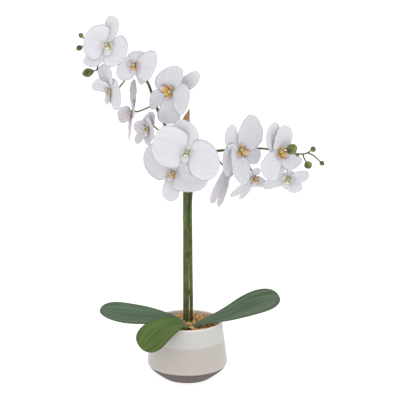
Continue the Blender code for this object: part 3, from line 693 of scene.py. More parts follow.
@dataclass(frozen=True)
class PetalTissue:
    """Orchid petal: thin white tissue with fine fanned veins, a greyer rim of painted shade and a soft, cool
    shade.
    """

    name: str
    white: str = "#DEDEE2"
    shade: str = "#D5D5DB"
    vein: str = "#C3C3CD"
    # Painted shade: the grey of the edges and the tip stands in for the shade along the rolled edges and
    # where the lobes overlap.
    rim: str = "#B6B6BE"
    throat: str = "#C9CDB4"
    veins_across: float = 30.0
    vein_strength: float = 0.17
    fold: float = 0.16
    gleam: float = 0.8
    edge_shade_start: float = 0.455
    tip_start: float = 0.965
    throat_span: tuple = (0.02, 0.24)
    throat_strength: float = 0.8

    def make(self) -> bpy.types.Material:
        """Make the material: veins along the petal, long folds, a greenish root and a greyer rim of painted
        shade at the edges and tip.
        """
        shade = Shade(
            self.name,
            Roughness=0.66,
            IOR=1.4,
            Subsurface_Weight=0.06,
            Subsurface_Scale=self.gleam * MM,
            Sheen_Weight=0.08,
        )
        folds = shade.stretched(shade.surface, (1.3, 1.0 / self.fold, 1.0), 2.0)
        slow = shade.span(folds, *NOISE_SPAN)
        veins = shade.bands(shade.surface, "Y", self.veins_across, 1.6, 0.7, "SAW")
        # Painted shade: the edges and the tip take the rim's grey.
        side = shade.span(shade.off_midrib(), self.edge_shade_start, 0.5)
        edge = shade.math("MAXIMUM", side, shade.span(shade.along, self.tip_start, 1.0))
        colour = shade.mix(slow, self.shade, self.white)
        colour = shade.mix(shade.span(veins, 0.7, 1.0, 0.0, self.vein_strength), colour, self.vein)
        colour = shade.mix(edge, colour, self.rim)
        root = shade.span(shade.along, *self.throat_span, self.throat_strength, 0.0)
        shade.link(shade.mix(root, colour, self.throat), "Base Color")
        shade.relief(shade.math("MULTIPLY_ADD", slow, 2.5, veins), 0.4, 0.25)
        return shade.material


@dataclass(frozen=True)
class LipTissue:
    """Orchid lip: a golden base that pales towards its tip, striped with purple at its sides."""

    name: str
    gold: str = "#D9B042"
    pale: str = "#CFCBD3"
    purple: str = "#84406F"
    gold_reach: float = 0.62
    purple_amount: float = 1.0
    gold_fade: float = 0.12
    stripes: float = 7.0
    ragged: float = 2.5
    raggedness: float = 0.35
    ragged_middle: float = 0.17

    def make(self) -> bpy.types.Material:
        """Make the material: gold at the root, purple stripes across its edge, pale at the tip."""
        shade = Shade(self.name, Roughness=0.5, IOR=1.42, Subsurface_Weight=0.1, Subsurface_Scale=1.0 * MM)
        ragged = shade.noise(self.ragged, 3.0)
        along = shade.math("MULTIPLY_ADD", ragged, self.raggedness, shade.along)
        reach = self.gold_reach + self.ragged_middle
        golden = shade.span(along, reach - self.gold_fade, reach + self.gold_fade, 1.0, 0.0)
        stripes = shade.span(shade.bands(shade.surface, "Y", self.stripes, 3.0), 0.3, 0.5)
        sides = shade.span(shade.off_midrib(), 0.18, 0.4, 0.0, self.purple_amount)
        mark = shade.math("MULTIPLY", stripes, sides)
        shade.link(shade.mix(mark, shade.mix(golden, self.pale, self.gold), self.purple), "Base Color")
        shade.relief(ragged, 0.3, 0.2)
        return shade.material


@dataclass(frozen=True)
class ColumnTissue:
    """Orchid column: firm waxy cream, green at its foot, with a few purple freckles."""

    white: str = "#BFC1A8"
    green: str = "#98A470"
    freckle: str = "#A97FA0"
    freckle_pitch: float = 1.3

    def make(self) -> bpy.types.Material:
        """Make the material: green to cream along the column, with freckles a millimetre apart."""
        shade = Shade("waxy_column_tissue", Roughness=0.4, IOR=1.45)
        colour = shade.mix(shade.span(shade.along, 0.1, 0.75), self.green, self.white)
        freckles = shade.dots(self.freckle_pitch, 0.18, 0.32, 0.6)
        shade.link(shade.mix(freckles, colour, self.freckle), "Base Color")
        return shade.material


@dataclass(frozen=True)
class CallusTissue:
    """Callus on the lip: warty golden yellow with red-brown dots."""

    name: str = "golden_callus"
    gold: str = "#D6A52E"
    light: str = "#E6C860"
    dot: str = "#94502C"
    cloud: float = 2.0
    dot_pitch: float = 1.5

    def make(self) -> bpy.types.Material:
        """Make the material: two yellows by slow noise, with dots set half a millimetre wide."""
        shade = Shade(self.name, Roughness=0.45, IOR=1.45)
        colour = shade.mix(shade.noise(self.cloud, 2.0), self.gold, self.light)
        shade.link(shade.mix(shade.dots(self.dot_pitch, 0.15, 0.3, 0.8), colour, self.dot), "Base Color")
        return shade.material


@dataclass(frozen=True)
class StudioPaper:
    """Seamless white studio paper, matt and lit from within so that it stays white under the pot."""

    white: str = "#FFFFFF"
    sheet: str = "#A0A0A0"
    grain: str = "#9C9C9C"
    grain_size: float = 1.25
    glow: float = 0.86

    def make(self) -> bpy.types.Material:
        """Make the material, with a grain too faint to see from the camera."""
        shade = Shade("studio_paper", Roughness=0.95, IOR=1.3, Emission_Strength=self.glow)
        shade.shader.inputs["Emission Color"].default_value = linear(self.white)
        shade.link(shade.mix(shade.noise(self.grain_size, 2.0), self.grain, self.sheet), "Base Color")
        return shade.material


class LipColour(Enum):
    """The three colourings that the lips come in."""

    GOLD = "gold"
    AMBER = "amber"
    PALE = "pale"


@dataclass(frozen=True)
class Lobe:
    """One petal, sepal or lip lobe of a flower.

    turn is clockwise from the top of the flower. lift leans the lobe forward from the flower's plane at its
    root and curl adds to that on the way to its tip. cup bends its side edges forward, bank rolls it about
    its own length and skew slides its clockwise edge outward for each millimetre of half width. claw says
    how slowly it widens, blunt how late it narrows and frill how far its edges wave.
    """

    turn: float
    length: float
    width: float
    lift: float = 10.0
    curl: float = 0.0
    cup: float = 20.0
    bank: float = 0.0
    skew: float = 0.0
    claw: float = 0.45
    blunt: float = 2.8
    frill: float = 0.7
    frill_length: float = 13.0
    rib_depth: float = 0.35
    rib_width: float = 0.07
    cloud: float = 0.014
    banked_by: float = 0.5
    widest_root: float = 0.4
    throat_radius: float = 0.4
    throat_share: float = 0.6

    def surface(self, hub: float, dock: float, grid: tuple[int, int], rng: np.random.Generator) -> np.ndarray:
        """Work out the lobe's middle surface in the flower's own axes.

        With u from root to tip and v from edge to edge, a point is the centreline at u, which leans forward
        by lift + curl u, plus an arc across it of radius 1 / bend and half length w(u) v, where w is the
        outline with a root of (1 - u)^3 added. The relief along the arc's inward side adds a midrib sunk by
        exp(-(v / rib width)^2), edge waves that grow with v^4 and soft clouds. One more row in front closes
        the lobe over the flower's throat.

        Args:
            hub: radius of the disc that the lobe grows from.
            dock: half the angle of that disc that its root takes up.
            grid: steps along the lobe and across it.
            rng: the seeded source of its waves and clouds.

        Returns:
            A grid of points in millimetres, one row for each step along the lobe.
        """
        rows, columns = grid
        u = 0.5 - 0.5 * np.cos(np.pi * np.linspace(0.0, 1.0, rows + 1))
        v = np.linspace(-1.0, 1.0, columns + 1)[None, :, None]
        turn = math.radians(self.turn)
        out = np.array((math.sin(turn), math.cos(turn), 0.0))
        side = np.array((math.cos(turn), -math.sin(turn), 0.0))
        front = np.array(UP)
        slope = np.radians(self.lift + self.curl * u)[:, None]
        ahead = np.cos(slope) * out + np.sin(slope) * front
        steps = np.diff(u)[:, None] * (self.length - hub) * 0.5 * (ahead[1:] + ahead[:-1])
        centre = np.vstack([out * hub, out * hub + np.cumsum(steps, axis=0)])
        normal = np.cos(slope) * front - np.sin(slope) * out
        tilt = math.radians(self.bank) * np.minimum(1.0, u / self.banked_by)[:, None]
        across = np.cos(tilt) * side + np.sin(tilt) * normal
        facing = np.cos(tilt) * normal - np.sin(tilt) * side
        root = min(hub * math.sin(math.radians(dock)), self.widest_root * self.width)
        half = outline(u, self.width, self.claw, self.blunt) + root * (1.0 - u) ** 3
        half = half[:, None, None]
        bend = math.radians(self.cup) / (self.width / 2.0)
        swing = bend * v * half
        relief = self.relief(u, v[0, :, 0], rng)[:, :, None]
        blade = (
            centre[:, None, :]
            + across[:, None, :] * np.sin(swing) / bend
            + facing[:, None, :] * ((1.0 - np.cos(swing)) / bend + relief)
            + ahead[:, None, :] * self.skew * v * half
        )
        middle = np.repeat((out * self.throat_radius)[None, None, :], columns + 1, axis=1)
        return np.concatenate([middle + across[0] * v * root * self.throat_share, blade], axis=0)

    def relief(self, u: np.ndarray, v: np.ndarray, rng: np.random.Generator) -> np.ndarray:
        """Return how far each point stands forward of the plain cupped arc.

        Args:
            u: places along the lobe, from 0 to 1.
            v: places across it, from -1 to 1.
            rng: the seeded source of its waves and clouds.

        Returns:
            The height at each grid point, in millimetres.
        """
        grow = (np.sqrt(u) * np.sqrt(np.clip(1.0 - u**6, 0.0, None)))[:, None]
        count = self.length / self.frill_length
        starts = rng.uniform(0.0, 2.0 * np.pi, 2)
        sign = np.where(v < 0.0, 0.0, 1.0)[None, :]
        phase = 2.0 * np.pi * count * u[:, None] + starts[0] + sign * starts[1]
        waves = self.frill * np.sin(phase) * np.abs(v)[None, :] ** 4
        rib = -self.rib_depth * np.exp(-((v / self.rib_width) ** 2))[None, :]
        clouds = self.cloud * self.width * wander((len(u), len(v)), rng)
        return grow * (waves + rib + clouds)


@dataclass(frozen=True)
class Lip:
    """The lip and column at the middle of a flower, in the flower's own axes.

    The blade leans forward and curls down, two side lobes stand up beside the column and a forked pair of
    tendrils ends the blade.
    """

    colour: LipColour = LipColour.AMBER
    scale: float = 1.0
    turn: float = 0.0
    blade: Lobe = Lobe(180.0, 16.0, 12.0, lift=34.0, curl=-30.0, cup=14.0, claw=0.6, blunt=1.5, frill=0.5)
    flank: Lobe = Lobe(84.0, 12.0, 11.0, lift=34.0, curl=24.0, cup=20.0, frill=0.4)
    tendril_length: float = 7.0
    tendril_radius: float = 0.55
    tendril_spread: float = 48.0
    tendril_flat: float = 0.5
    tendril_rise: float = 0.35
    column_length: float = 7.5
    column_radius: float = 2.0
    column_bow: tuple = (0.12, 0.42, 0.38)
    column_flat: float = 0.85
    wart_radius: float = 1.7
    wart_place: tuple = (1.3, -3.4, 5.4)
    wart_reach: tuple = (0.0, -0.6, 2.1)
    hub: float = 3.0
    dock: float = 26.0
    grid: tuple = (16, 12)

    def sheets(self, rng: np.random.Generator) -> list[np.ndarray]:
        """Work out the blade and its two side lobes, each a grid of points."""
        turns = (self.blade.turn, self.flank.turn, 360.0 - self.flank.turn)
        shapes = (self.blade, self.flank, self.flank)
        lobes = [replace(lobe, turn=turn + self.turn) for lobe, turn in zip(shapes, turns)]
        return [self.scale * lobe.surface(self.hub, self.dock, self.grid, rng) for lobe in lobes]

    def tendrils(self, tip: np.ndarray, ahead: np.ndarray) -> list[np.ndarray]:
        """Work out the two tendrils that fork from the blade's tip and curl back.

        Each is a tapering tube along ahead turned sideways by the spread, rising with the square of the
        distance run.

        Args:
            tip: the blade's tip.
            ahead: the way the blade runs there.

        Returns:
            Two grids of points.
        """
        run = np.linspace(0.0, 1.0, 9)
        right = np.array((1.0, 0.0, 0.0))
        rise = np.cross(right, ahead)
        angle = math.radians(self.tendril_spread)
        made = []
        for sign in (-1.0, 1.0):
            away = math.cos(angle) * ahead + sign * math.sin(angle) * right
            bow = run[:, None] * away - self.tendril_rise * run[:, None] ** 2 * rise
            path = tip + self.tendril_length * self.scale * bow
            radii = self.tendril_radius * self.scale * (1.15 - run) ** 0.6
            made.append(tube(path, radii, 8, self.tendril_flat))
        return made

    def column(self) -> np.ndarray:
        """Work out the column: a tube along (a + b s - c s^3, s) upwards and forwards, with a blunt end."""
        run = np.linspace(0.0, 1.0, 12)
        reach = self.column_length * self.scale
        start, rise, nod = self.column_bow
        path = np.column_stack([0.0 * run, reach * (start + rise * run - nod * run**3), reach * run])
        end = np.sqrt(np.clip(1.02 - run**7, 0.0, None))
        radii = self.column_radius * self.scale * (0.8 + 0.35 * run) * end
        return tube(path, radii, 14, self.column_flat)

    def callus(self) -> list[np.ndarray]:
        """Work out the two warts of the callus: short fat tubes on the blade's root."""
        run = np.linspace(-1.0, 1.0, 9)
        radii = self.wart_radius * self.scale * np.sqrt(np.clip(1.0 - (run * 0.995) ** 2, 0.0, None))
        place, reach = np.array(self.wart_place), np.array(self.wart_reach)
        made = []
        for sign in (-1.0, 1.0):
            path = (place * (sign, 1.0, 1.0) + run[:, None] * reach) * self.scale
            made.append(tube(path, radii, 10))
        return made


@dataclass(frozen=True)
class Flower:
    """One flower: where its hub is, the way it faces, its lobes and its lip.

    facing is degrees to the right of -Y, tilt is degrees above the horizon and roll is clockwise.
    """

    name: str
    hub: tuple
    facing: float
    tilt: float
    roll: float
    sepals: tuple
    petals: tuple
    lip: Lip = Lip()
    # The blush tissue is pinker and darker; the darker tone is painted shade.
    shaded_blush: bool = False
    hub_radius: float = 4.0
    layer_step: float = 1.1
    lip_step: float = 2.3
    petal_thickness: float = 0.5
    lobe_step: float = 0.3
    sepal_dock: float = 50.0
    petal_dock: float = 70.0
    grid: tuple = (34, 28)

    def axes(self) -> np.ndarray:
        """Return the flower's right, up and forward directions, one in each row."""
        facing, tilt, roll = (math.radians(angle) for angle in (self.facing, self.tilt, self.roll))
        flat = math.cos(tilt)
        forward = np.array((math.sin(facing) * flat, -math.cos(facing) * flat, math.sin(tilt)))
        level = np.array((math.cos(facing), math.sin(facing), 0.0))
        upright = np.cross(forward, level)
        up = upright * math.cos(roll) + level * math.sin(roll)
        right = level * math.cos(roll) - upright * math.sin(roll)
        return np.array((right, up, forward))

    def placed(self, grid: np.ndarray, height: float = 0.0) -> np.ndarray:
        """Carry a grid from the flower's own axes to the frame's, a height in front of its hub."""
        return (grid + np.array((0.0, 0.0, height))) @ self.axes() + np.array(self.hub)

    def build(self, finishes: dict, rng: np.random.Generator) -> None:
        """Make the sepals, the petals and the lip, each one piece.

        Args:
            finishes: the materials by name.
            rng: the seeded source of each lobe's waves.
        """
        tissue = finishes["shaded_blush" if self.shaded_blush else "petal"]
        layers = (
            ("sepals", self.sepals, self.sepal_dock, 0.0),
            ("petals", self.petals, self.petal_dock, self.layer_step),
        )
        for kind, lobes, dock, height in layers:
            sheets = Sheets()
            for order, lobe in enumerate(lobes):
                grid = lobe.surface(self.hub_radius, dock, self.grid, rng)
                sheets.add(self.placed(grid, height + self.lobe_step * order))
            name = f"{self.name}_{kind}"
            made = piece(name, sheets.mesh(name), (tissue,), name)
            thicken(made, self.petal_thickness)
        self.build_lip(finishes, rng)

    def build_lip(self, finishes: dict, rng: np.random.Generator) -> None:
        """Make the lip's sheets as one piece, and its column, callus and tendrils as another."""
        name = f"{self.name}_lip"
        sheets = Sheets()
        grids = self.lip.sheets(rng)
        for grid in grids:
            sheets.add(self.placed(grid, self.lip_step))
        made = piece(name, sheets.mesh(name), (finishes[self.lip.colour],), name)
        thicken(made, self.petal_thickness)
        blade = grids[0]
        tip = blade[-1, 0]
        ahead = unit(tip - blade[-6, blade.shape[1] // 2])
        core = Sheets()
        core.add(self.placed(self.lip.column(), self.lip_step), ring=True)
        for grid in self.lip.callus():
            core.add(self.placed(grid, self.lip_step), ring=True, finish=1)
        for grid in self.lip.tendrils(tip, ahead):
            core.add(self.placed(grid, self.lip_step), ring=True, finish=2)
        name = f"{self.name}_column"
        callus = finishes["white_callus" if self.lip.colour is LipColour.PALE else "callus"]
        piece(name, core.mesh(name), (finishes["column"], callus, finishes["tendril"]), None)


GOLD_LIP = Lip(LipColour.GOLD, 1.0, turn=-30.0)
SIDE_LIP = Lip(LipColour.GOLD, 1.1, turn=50.0)
AMBER_LIP = Lip(LipColour.AMBER, 0.9)
PALE_LIP = Lip(LipColour.PALE, 0.95)
SMALL_LIP = Lip(LipColour.AMBER, 0.8)

FLOWERS = (
    Flower(
        "left_bloom_1",
        (-112.5, -24.0, 509.5),
        facing=-12.0,
        tilt=-4.0,
        roll=-4.0,
        sepals=(
            Lobe(18.0, 43.5, 21.0, lift=2.0, skew=-0.2, claw=0.5, blunt=5.0),
            Lobe(166.0, 28.0, 24.0, lift=2.0),
            Lobe(228.0, 45.0, 23.0, lift=2.0, skew=0.4, claw=0.5, blunt=3.1),
        ),
        petals=(
            Lobe(126.0, 31.0, 52.0, claw=0.4, blunt=0.8),
            Lobe(297.0, 35.0, 56.0, lift=14.0, claw=0.25, blunt=1.4),
        ),
        lip=PALE_LIP,
    ),
    Flower(
        "left_bloom_2",
        (-74.5, -18.0, 480.0),
        facing=-20.0,
        tilt=-14.0,
        roll=10.0,
        sepals=(
            Lobe(12.0, 24.0, 26.0, lift=2.0, skew=0.4, claw=0.2, blunt=5.0),
            Lobe(149.0, 32.0, 15.0, lift=-2.0, skew=0.5, claw=0.5, blunt=5.0),
            Lobe(225.0, 28.0, 28.0, lift=2.0),
        ),
        petals=(
            Lobe(73.0, 37.0, 51.0, skew=-0.5, claw=0.5, blunt=3.4),
            Lobe(236.0, 30.0, 30.0, lift=32.0, skew=-0.3, claw=0.2, blunt=1.6),
        ),
        lip=AMBER_LIP,
    ),
    Flower(
        "left_bloom_3",
        (-110.0, -4.0, 438.0),
        facing=-60.0,
        tilt=0.0,
        roll=0.0,
        sepals=(
            Lobe(356.0, 42.0, 48.0, lift=12.0, skew=0.2, claw=0.5, blunt=5.0),
            Lobe(170.0, 22.0, 12.0, lift=-6.0),
            Lobe(200.0, 22.0, 14.0, lift=12.0),
        ),
        petals=(
            Lobe(94.0, 35.0, 44.0, lift=2.0, cup=10.0, skew=0.1, claw=0.2, blunt=3.2),
            Lobe(301.0, 29.0, 24.0, lift=42.0, skew=-0.3, claw=0.5, blunt=5.0),
        ),
        lip=SMALL_LIP,
    ),
    Flower(
        "left_bloom_4",
        (-79.5, 9.0, 404.5),
        facing=-76.0,
        tilt=0.0,
        roll=0.0,
        sepals=(
            Lobe(17.0, 51.0, 22.0, lift=-2.0, bank=-13.0, skew=-0.5, claw=0.2),
            Lobe(188.0, 44.0, 18.0, lift=6.0, bank=1.0, skew=-0.5, claw=0.2, blunt=0.8),
            Lobe(230.0, 30.0, 16.0, lift=2.0),
        ),
        petals=(
            Lobe(66.0, 24.0, 26.0, lift=2.0, cup=10.0),
            Lobe(240.0, 30.0, 24.0, lift=39.0, skew=0.1, claw=0.3, blunt=3.1),
        ),
        lip=SMALL_LIP,
        shaded_blush=True,
    ),
    Flower(
        "left_bloom_5",
        (-22.0, -22.0, 441.0),
        facing=-36.0,
        tilt=0.0,
        roll=58.0,
        sepals=(
            Lobe(2.0, 55.0, 22.0, lift=-5.0, skew=-0.5, claw=0.5, blunt=3.5),
            Lobe(118.0, 47.0, 43.0, skew=0.1, claw=0.5, blunt=5.0),
            Lobe(184.0, 43.0, 25.0, lift=4.0, skew=-0.5, claw=0.5, blunt=5.0),
        ),
        petals=(
            Lobe(47.0, 38.0, 49.0, claw=0.5, blunt=5.0),
            Lobe(309.0, 40.0, 52.0, lift=12.0, skew=0.5, claw=0.3),
        ),
        lip=SIDE_LIP,
    ),
    Flower(
        "left_bloom_6",
        (-56.0, -24.0, 388.0),
        facing=-52.0,
        tilt=-6.0,
        roll=0.0,
        sepals=(
            Lobe(27.0, 29.0, 23.0, lift=-3.0, skew=0.3, claw=0.2, blunt=1.1),
            Lobe(176.0, 26.0, 20.0, lift=6.0, skew=0.3, claw=0.2, blunt=1.4),
            Lobe(222.0, 34.0, 14.0, lift=18.0),
        ),
        petals=(
            Lobe(74.0, 26.0, 34.0, lift=18.0),
            Lobe(279.0, 22.0, 20.0, lift=39.0, skew=-0.1, claw=0.3, blunt=2.2),
        ),
        lip=SMALL_LIP,
        shaded_blush=True,
    ),
    Flower(
        "front_bloom",
        (0.3, -46.0, 356.5),
        facing=-4.0,
        tilt=2.0,
        roll=16.0,
        sepals=(
            Lobe(340.0, 48.0, 37.0, lift=2.0, skew=-0.3, claw=0.5, blunt=2.0),
            Lobe(138.0, 36.0, 26.0, lift=2.0),
            Lobe(206.0, 24.0, 24.0, lift=2.0),
        ),
        petals=(
            Lobe(96.0, 52.0, 57.0, skew=0.2, claw=0.5, blunt=0.8),
            Lobe(277.0, 53.0, 63.0, lift=12.0, skew=0.1, claw=0.2, blunt=3.6),
        ),
        lip=PALE_LIP,
    ),
    Flower(
        "low_bloom",
        (-20.5, -16.0, 318.5),
        facing=-6.0,
        tilt=0.0,
        roll=24.0,
        sepals=(
            Lobe(2.0, 16.0, 18.0, lift=-4.0),
            Lobe(112.0, 30.0, 22.0, lift=-2.0),
            Lobe(162.0, 43.0, 25.0, lift=2.0, claw=0.4, blunt=3.2),
        ),
        petals=(
            Lobe(81.0, 53.0, 43.0, lift=8.0, skew=-0.2, claw=0.3, blunt=1.0),
            Lobe(291.0, 54.0, 48.0, lift=8.0, skew=0.2, claw=0.3, blunt=1.9),
        ),
        lip=AMBER_LIP,
    ),
    Flower(
        "right_bloom_1",
        (76.0, -25.0, 355.0),
        facing=38.0,
        tilt=0.0,
        roll=-32.0,
        sepals=(
            Lobe(354.0, 40.0, 30.0, lift=-0.0, skew=0.5, claw=0.5, blunt=4.3),
            Lobe(148.0, 40.0, 26.0, lift=6.0, claw=0.5, blunt=2.0),
            Lobe(269.0, 32.0, 45.0, lift=-14.0, skew=-0.5, claw=0.5, blunt=5.0),
        ),
        petals=(
            Lobe(62.0, 53.0, 49.0, skew=-0.3, claw=0.5, blunt=1.9),
            Lobe(229.0, 48.0, 38.0, lift=20.0, skew=-0.5, claw=0.2, blunt=2.6),
        ),
        lip=GOLD_LIP,
    ),
    Flower(
        "right_bloom_2",
        (60.5, 12.0, 320.0),
        facing=44.0,
        tilt=0.0,
        roll=8.0,
        sepals=(
            Lobe(350.0, 19.0, 18.0, lift=4.0),
            Lobe(194.0, 60.0, 16.0, lift=2.0, skew=-0.2, claw=0.4, blunt=1.9),
            Lobe(223.0, 65.0, 18.0, lift=12.0, skew=-0.5, claw=0.5, blunt=5.0),
        ),
        petals=(
            Lobe(66.0, 26.0, 26.0),
            Lobe(320.0, 22.0, 18.0),
        ),
        lip=AMBER_LIP,
        shaded_blush=True,
    ),
    Flower(
        "right_bloom_3",
        (133.0, -25.0, 352.0),
        facing=40.0,
        tilt=0.0,
        roll=-30.0,
        sepals=(
            Lobe(1.0, 44.0, 33.0, lift=2.0, skew=0.5, claw=0.4, blunt=4.2),
            Lobe(160.0, 42.0, 28.0, lift=8.0, skew=-0.5, claw=0.5, blunt=3.8),
            Lobe(205.0, 34.0, 24.0, lift=0.0),
        ),
        petals=(
            Lobe(37.0, 41.0, 34.0, claw=0.2, blunt=3.1),
            Lobe(264.0, 49.0, 46.0, lift=14.0, skew=0.1, claw=0.5, blunt=4.0),
        ),
        lip=GOLD_LIP,
    ),
    Flower(
        "right_bloom_4",
        (99.0, -6.0, 310.0),
        facing=18.0,
        tilt=-26.0,
        roll=0.0,
        sepals=(
            Lobe(0.0, 18.0, 14.0, lift=6.0),
            Lobe(202.0, 43.0, 11.0, lift=2.0, skew=0.5, claw=0.5, blunt=3.6),
            Lobe(225.0, 47.0, 13.0, lift=2.0, claw=0.5, blunt=2.7),
        ),
        petals=(
            Lobe(132.0, 20.0, 16.0, lift=20.0, skew=-0.1, claw=0.5, blunt=2.6),
            Lobe(280.0, 16.0, 20.0, lift=20.0),
        ),
        lip=AMBER_LIP,
    ),
    Flower(
        "right_bloom_5",
        (148.0, -14.0, 309.5),
        facing=-10.0,
        tilt=-10.0,
        roll=20.0,
        sepals=(
            Lobe(0.0, 14.0, 14.0, lift=6.0),
            Lobe(122.0, 25.0, 22.0, lift=6.0, skew=-0.1, claw=0.4, blunt=2.3),
            Lobe(232.0, 40.0, 15.0, lift=2.0, skew=-0.5, claw=0.2, blunt=4.1),
        ),
        petals=(
            Lobe(52.0, 34.0, 19.0, lift=14.0, skew=-0.5, claw=0.4, blunt=3.2),
            Lobe(285.0, 14.0, 14.0, lift=16.0),
        ),
        lip=PALE_LIP,
    ),
)


@dataclass(frozen=True)
class Leaf:
    """A strap leaf along a route: lean is how far its blade rolls about that line, root to tip."""

    name: str
    route: tuple
    width: float
    lean: tuple
    fold: float
    finish: str
    claw: float = 0.9
    blunt: float = 5.0
    root_half_width: float = 4.0
    thickness: float = 1.1
    wave: float = 1.1
    channel: float = 0.05
    calming: float = 6.0
    grid: tuple = (72, 28)

    def surface(self, rng: np.random.Generator) -> np.ndarray:
        """Work out the leaf's middle surface.

        With u from root to tip and v from edge to edge, a point is the route at u, plus w(u) v across it,
        plus w(u) |v| tan(fold) towards its upper side, softened into a round channel over the midrib, plus
        slow waves that grow with v^2 and calm down towards the tip.

        Args:
            rng: the seeded source of its waves.

        Returns:
            A grid of points in millimetres.
        """
        rows, columns = self.grid
        u = np.sin(0.5 * np.pi * np.linspace(0.0, 1.0, rows + 1))
        v = np.linspace(-1.0, 1.0, columns + 1)[None, :, None]
        centres = resample(smooth_route(self.route, 12), u)
        half = outline(u, self.width, self.claw, self.blunt) + self.root_half_width * (1.0 - u) ** 2
        half = half[:, None, None]
        tangents = unit(np.gradient(centres, axis=0))
        level = unit(np.cross(tangents, np.array(UP)))
        up = np.cross(level, tangents)
        lean = np.radians(self.lean[0] + (self.lean[1] - self.lean[0]) * u)[:, None]
        across = (np.cos(lean) * level + np.sin(lean) * up)[:, None, :]
        normal = np.cross(across[:, 0], tangents)[:, None, :]
        rise = math.tan(math.radians(self.fold))
        channel = np.sqrt(v**2 + self.channel**2) - self.channel
        waves = self.wave * wander((rows + 1, columns + 1), rng)[:, :, None] * v**2
        swell = np.minimum(1.0, self.calming * (1.0 - u))[:, None, None]
        return centres[:, None, :] + across * v * half + normal * (channel * half * rise + waves * swell)

    def build(self, finishes: dict, rng: np.random.Generator) -> None:
        """Make the leaf and give it its thickness."""
        sheets = Sheets()
        sheets.add(self.surface(rng))
        made = piece(self.name, sheets.mesh(self.name), (finishes[self.finish],), self.name)
        thicken(made, self.thickness)


@dataclass(frozen=True)
class Bud:
    """A closed bud on the end of a side stalk."""

    name: str
    length: float
    radius: float
    gap: float = 0.1
    lateness: float = 1.12
    fullness: float = 0.72
    seam_depth: float = 0.085
    seam_sharpness: int = 12
    grid: tuple = (22, 30)

    def surface(self, foot: np.ndarray, ahead: np.ndarray) -> np.ndarray:
        """Work out the bud: a tube of radius r sin(pi s^lateness)^fullness with three shallow seams along it.

        Args:
            foot: where its stalk ends.
            ahead: the way it points.

        Returns:
            A closed grid of points.
        """
        rows, sides = self.grid
        share = np.linspace(0.0, 1.0, rows)
        radii = self.radius * np.sin(np.pi * np.clip(share, 0.004, 0.996) ** self.lateness) ** self.fullness
        path = foot + (self.gap + self.length * share)[:, None] * ahead
        grid = tube(path, radii, sides)
        angle = np.linspace(0.0, 2.0 * np.pi, sides, endpoint=False)
        seam = 1.0 - self.seam_depth * np.cos(1.5 * angle) ** self.seam_sharpness
        middle = grid.mean(axis=1, keepdims=True)
        return middle + (grid - middle) * seam[None, :, None]


@dataclass(frozen=True)
class Joint:
    """A joint of a stem and the scale leaf on it.

    share is the joint's place along the stem, angle the way that the leaf faces, size how large both are,
    flare how far the leaf's tip stands off and tint how pale it is.
    """

    share: float
    angle: float
    size: float = 1.0
    flare: float = 1.0
    tint: float = 0.2


@dataclass(frozen=True)
class Twig:
    """A side stalk that leaves the main stem at one of its knots, and the bud at its end."""

    knot: int
    route: tuple
    bud: Bud


